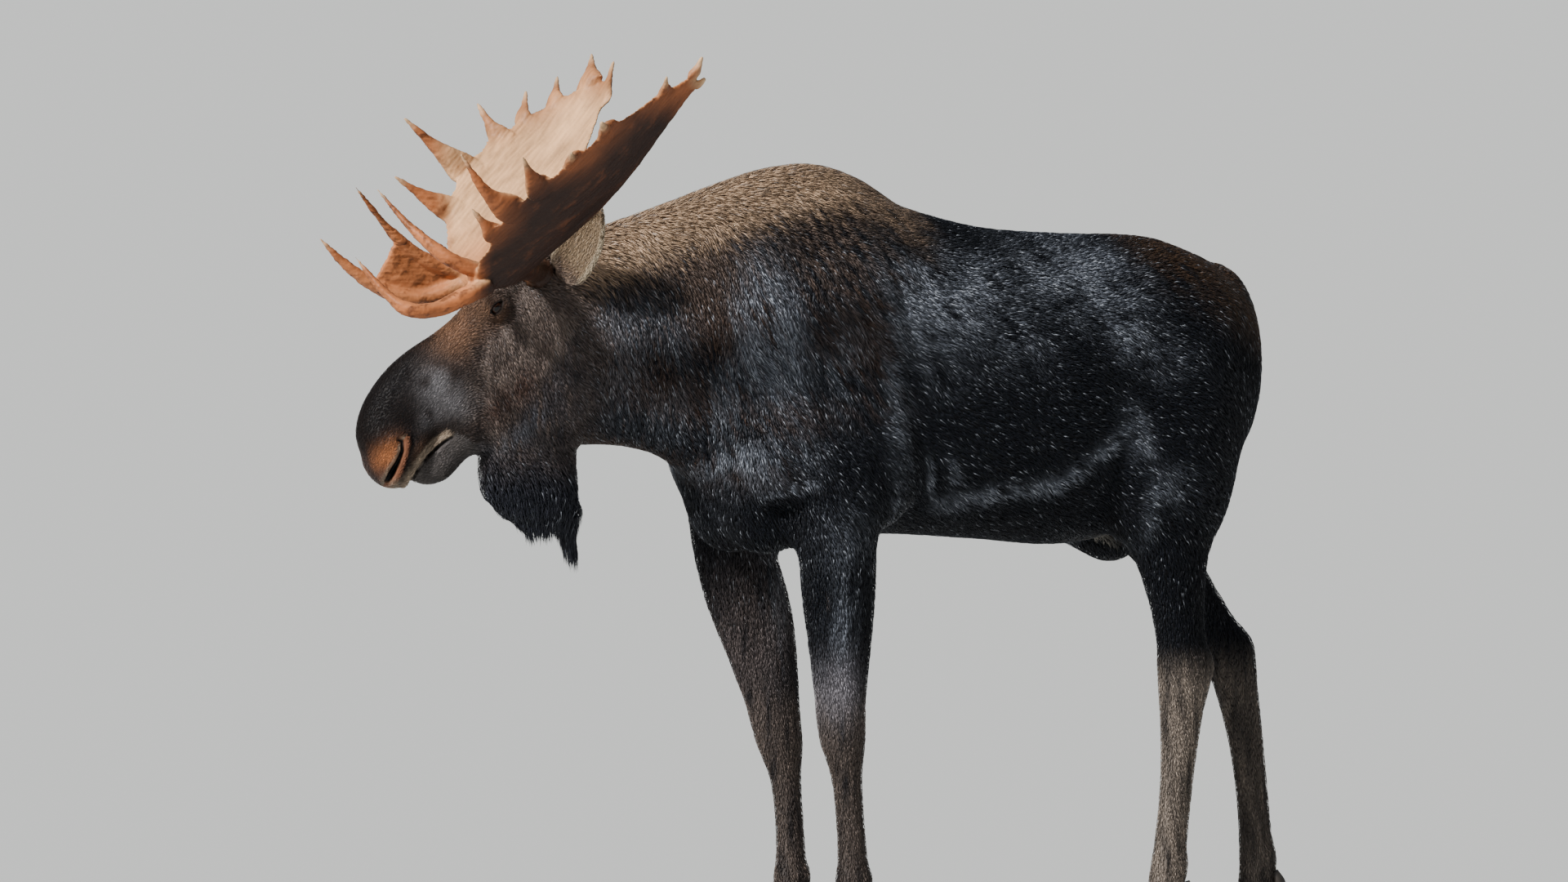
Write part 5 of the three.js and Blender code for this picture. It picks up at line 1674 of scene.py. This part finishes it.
def eye_piece(word, side):
    theta = np.linspace(0, math.pi, 50)[1:-1, None]
    phi = np.linspace(0, 2 * math.pi, 72, endpoint=False)[None]
    across, up = np.sin(theta) * np.cos(phi), np.sin(theta) * np.sin(phi)
    ahead = np.cos(theta) * np.ones_like(phi)
    bulge = EYE_RADIUS * (1 + 0.05 * np.exp(-((theta / 0.6) ** 2)))
    rings = (across[..., None] * EYE_ALONG + up[..., None] * EYE_UP + ahead[..., None] * EYE_OUT)
    rings = EYE + rings * bulge[..., None]
    flip = np.array([1, 1, side])
    start, end = EYE + EYE_OUT * EYE_RADIUS * 1.05, EYE - EYE_OUT * EYE_RADIUS
    points, faces = loft(from_face(rings * flip), from_face(start * flip), from_face(end * flip))
    looked = (to_face(points) * flip - EYE) / EYE_RADIUS
    u, v, out = looked @ EYE_ALONG, looked @ EYE_UP, looked @ EYE_OUT
    off_axis = np.arccos(np.clip(out, -1, 1))
    streaks = np.sin(np.arctan2(v, u) * 24) * 0.15
    paint = mixed(np.tile(WHITE_OF_EYE, (len(points), 1)), IRIS, 1 - rise((off_axis - 0.78) / 0.08))
    paint = paint * (1 + streaks)[:, None]
    paint = mixed(paint, PUPIL, 0.9 * np.exp(-(((off_axis - 0.8) / 0.06) ** 2)))
    paint = mixed(paint, PUPIL, 1 - rise((np.hypot(u / 0.42, v / 0.22) - 0.9) / 0.2))
    piece = new_piece(f"eye_ball_{word}", points, faces, paint, wet)
    return shown(piece, [f"eye_{word}"])


for word, side in (("left", 1), ("right", -1)):
    eye_piece(word, side)

# %% [markdown]
# ## Hooves
# Two long pointed claws and two dewclaws on each foot. The walls lean in to the hairline,
# show faint growth rings, and stand flat on the ground.

# %% Hooves
def claw_form(coronet, side):
    x, y = coronet[:2]
    angle = np.linspace(0, 2 * math.pi, 44, endpoint=False)
    u, v = np.cos(angle), np.sin(angle)
    nose = np.where(u < 0, HOOF["length"] * 0.6, HOOF["length"] * 0.4)
    narrow = np.where(u < 0, 1 - 0.45 * u * u, 1 - 0.12 * u * u)
    long, wide = u * nose + 8, v * HOOF["width"] / 2 * narrow - side * u * 7
    slant = 0.7 * (HOOF["toe"] - HOOF["heel"]) / (HOOF["length"] * 0.62)
    rings = []
    for share in np.concatenate([[0, 0.015], np.linspace(0.05, 1, 34)]):
        edge = 0.03 * (share < 0.01)
        tuck = 0.22 * max(0, share - 0.8) / 0.2
        shorter, narrower = 1 - edge - 0.3 * share - tuck, 1 - edge - 0.14 * share - tuck
        lean_x = x + long * shorter + 16 * share
        top = (HOOF["toe"] + HOOF["heel"]) / 2 - 5 - slant * (lean_x - x - 14)
        rib = 1 + 0.006 * np.sin(share * 50)
        spread = y + side * (HOOF["width"] / 2 + HOOF["spread"])
        rings.append(np.column_stack([x + (lean_x - x) * rib, spread + wide * narrower * rib, top * share]))
    rings = np.array(rings)
    return loft(rings, rings[0].mean(axis=0), rings[-1].mean(axis=0))


def dewclaw_form(fetlock, side):
    x, y, z = fetlock
    top, tip = np.array([x + 36, y + side * 24, z - 36]), np.array([x + 58, y + side * 30, z - 88])
    return tube([top, top + (tip - top) * 0.55, tip], (9, 15, 4), 16)


HORN_TOP = colour("#3a332d")
HORN_TOE = colour("#17140f")
for name, (_, joints) in LEGS.items():
    forms = [claw_form(joints[3], side) for side in (-1, 1)]
    forms += [dewclaw_form(joints[2], side) for side in (-1, 1)]
    points, faces = joined(forms)
    tone = mixed(np.tile(HORN_TOE, (len(points), 1)), HORN_TOP, points[:, 2] / 90)
    tone = tone * (1 + 0.2 * ripple(points, 14, 7))[:, None]
    piece = new_piece(f"hoof_{name}", points, faces, tone, horn)
    nodes = [f"{name}_{part}_{where}" for part in ("hoof", "dewclaw") for where in ("inner", "outer")]
    shown(piece, nodes)
print("eyes and hooves", round(time.time() - STARTED, 1), "s")

# %% [markdown]
# ## Floor, light and camera
# A wide pale floor, a soft sun from the animal's front and an even pale sky. The camera
# stands far off with a long lens, so that the view is nearly without perspective.

# %% Floor and light
FLOOR_REACH = 260
floor_mesh = bpy.data.meshes.new("floor")
corners = [(x * FLOOR_REACH, y * FLOOR_REACH, -0.001) for x, y in ((-1, -1), (1, -1), (1, 1), (-1, 1))]
floor_mesh.from_pydata(corners, [], [(0, 1, 2, 3)])
floor = bpy.data.objects.new("floor", floor_mesh)
bpy.context.scene.collection.objects.link(floor)
paper, tree, shader = new_material("studio floor, painted", 0.9)
shader.inputs["Base Color"].default_value = (*colour("#cfcfcb"), 1)
floor_mesh.materials.append(paper)
floor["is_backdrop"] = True

SKY_STRENGTH = 0.34
SUN_STRENGTH, SUN_WIDTH = 6.2, math.radians(5)
world = bpy.data.worlds.new("sky")
bpy.context.scene.world = world
world.use_nodes = True
sky = world.node_tree.nodes["Background"]
sky.inputs["Color"].default_value = (*colour("#dfe7f2"), 1)
sky.inputs["Strength"].default_value = SKY_STRENGTH

AZIMUTH, ELEVATION = math.radians(-30), math.radians(2.5)
right = Vector((math.cos(AZIMUTH), math.sin(AZIMUTH), 0))
level = math.cos(ELEVATION)
back = Vector((math.sin(AZIMUTH) * level, -math.cos(AZIMUTH) * level, math.sin(ELEVATION)))
up = back.cross(right)

sun = bpy.data.lights.new("key", "SUN")
sun.energy, sun.angle = SUN_STRENGTH, SUN_WIDTH
key = bpy.data.objects.new("key", sun)
key.rotation_mode = "QUATERNION"
key.rotation_quaternion = (right * 0.6 - back * 0.62 - up * 0.56).to_track_quat("-Z", "Y")
bpy.context.scene.collection.objects.link(key)

# %% Camera
LENS, SENSOR = 700, 36
VIEW_WIDTH = 3.707
AIM_RIGHT, AIM_UP = -0.087, 1.220
lens = bpy.data.cameras.new("camera")
lens.lens, lens.sensor_width = LENS, SENSOR
distance = VIEW_WIDTH * LENS / SENSOR
lens.clip_start, lens.clip_end = 1, 1200
camera = bpy.data.objects.new("camera", lens)
camera.rotation_mode = "QUATERNION"
camera.rotation_quaternion = (-back).to_track_quat("-Z", "Y")
camera.location = Vector(SHIFT / 1000) + right * AIM_RIGHT + up * AIM_UP + back * distance
bpy.context.scene.collection.objects.link(camera)
bpy.context.scene.camera = camera

low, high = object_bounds()
sizes = {"cad": [list(corner) for corner in CAD_BOX], "visual": [list(low), list(high)]}
print("sizes", sizes, round(time.time() - STARTED, 1), "s")
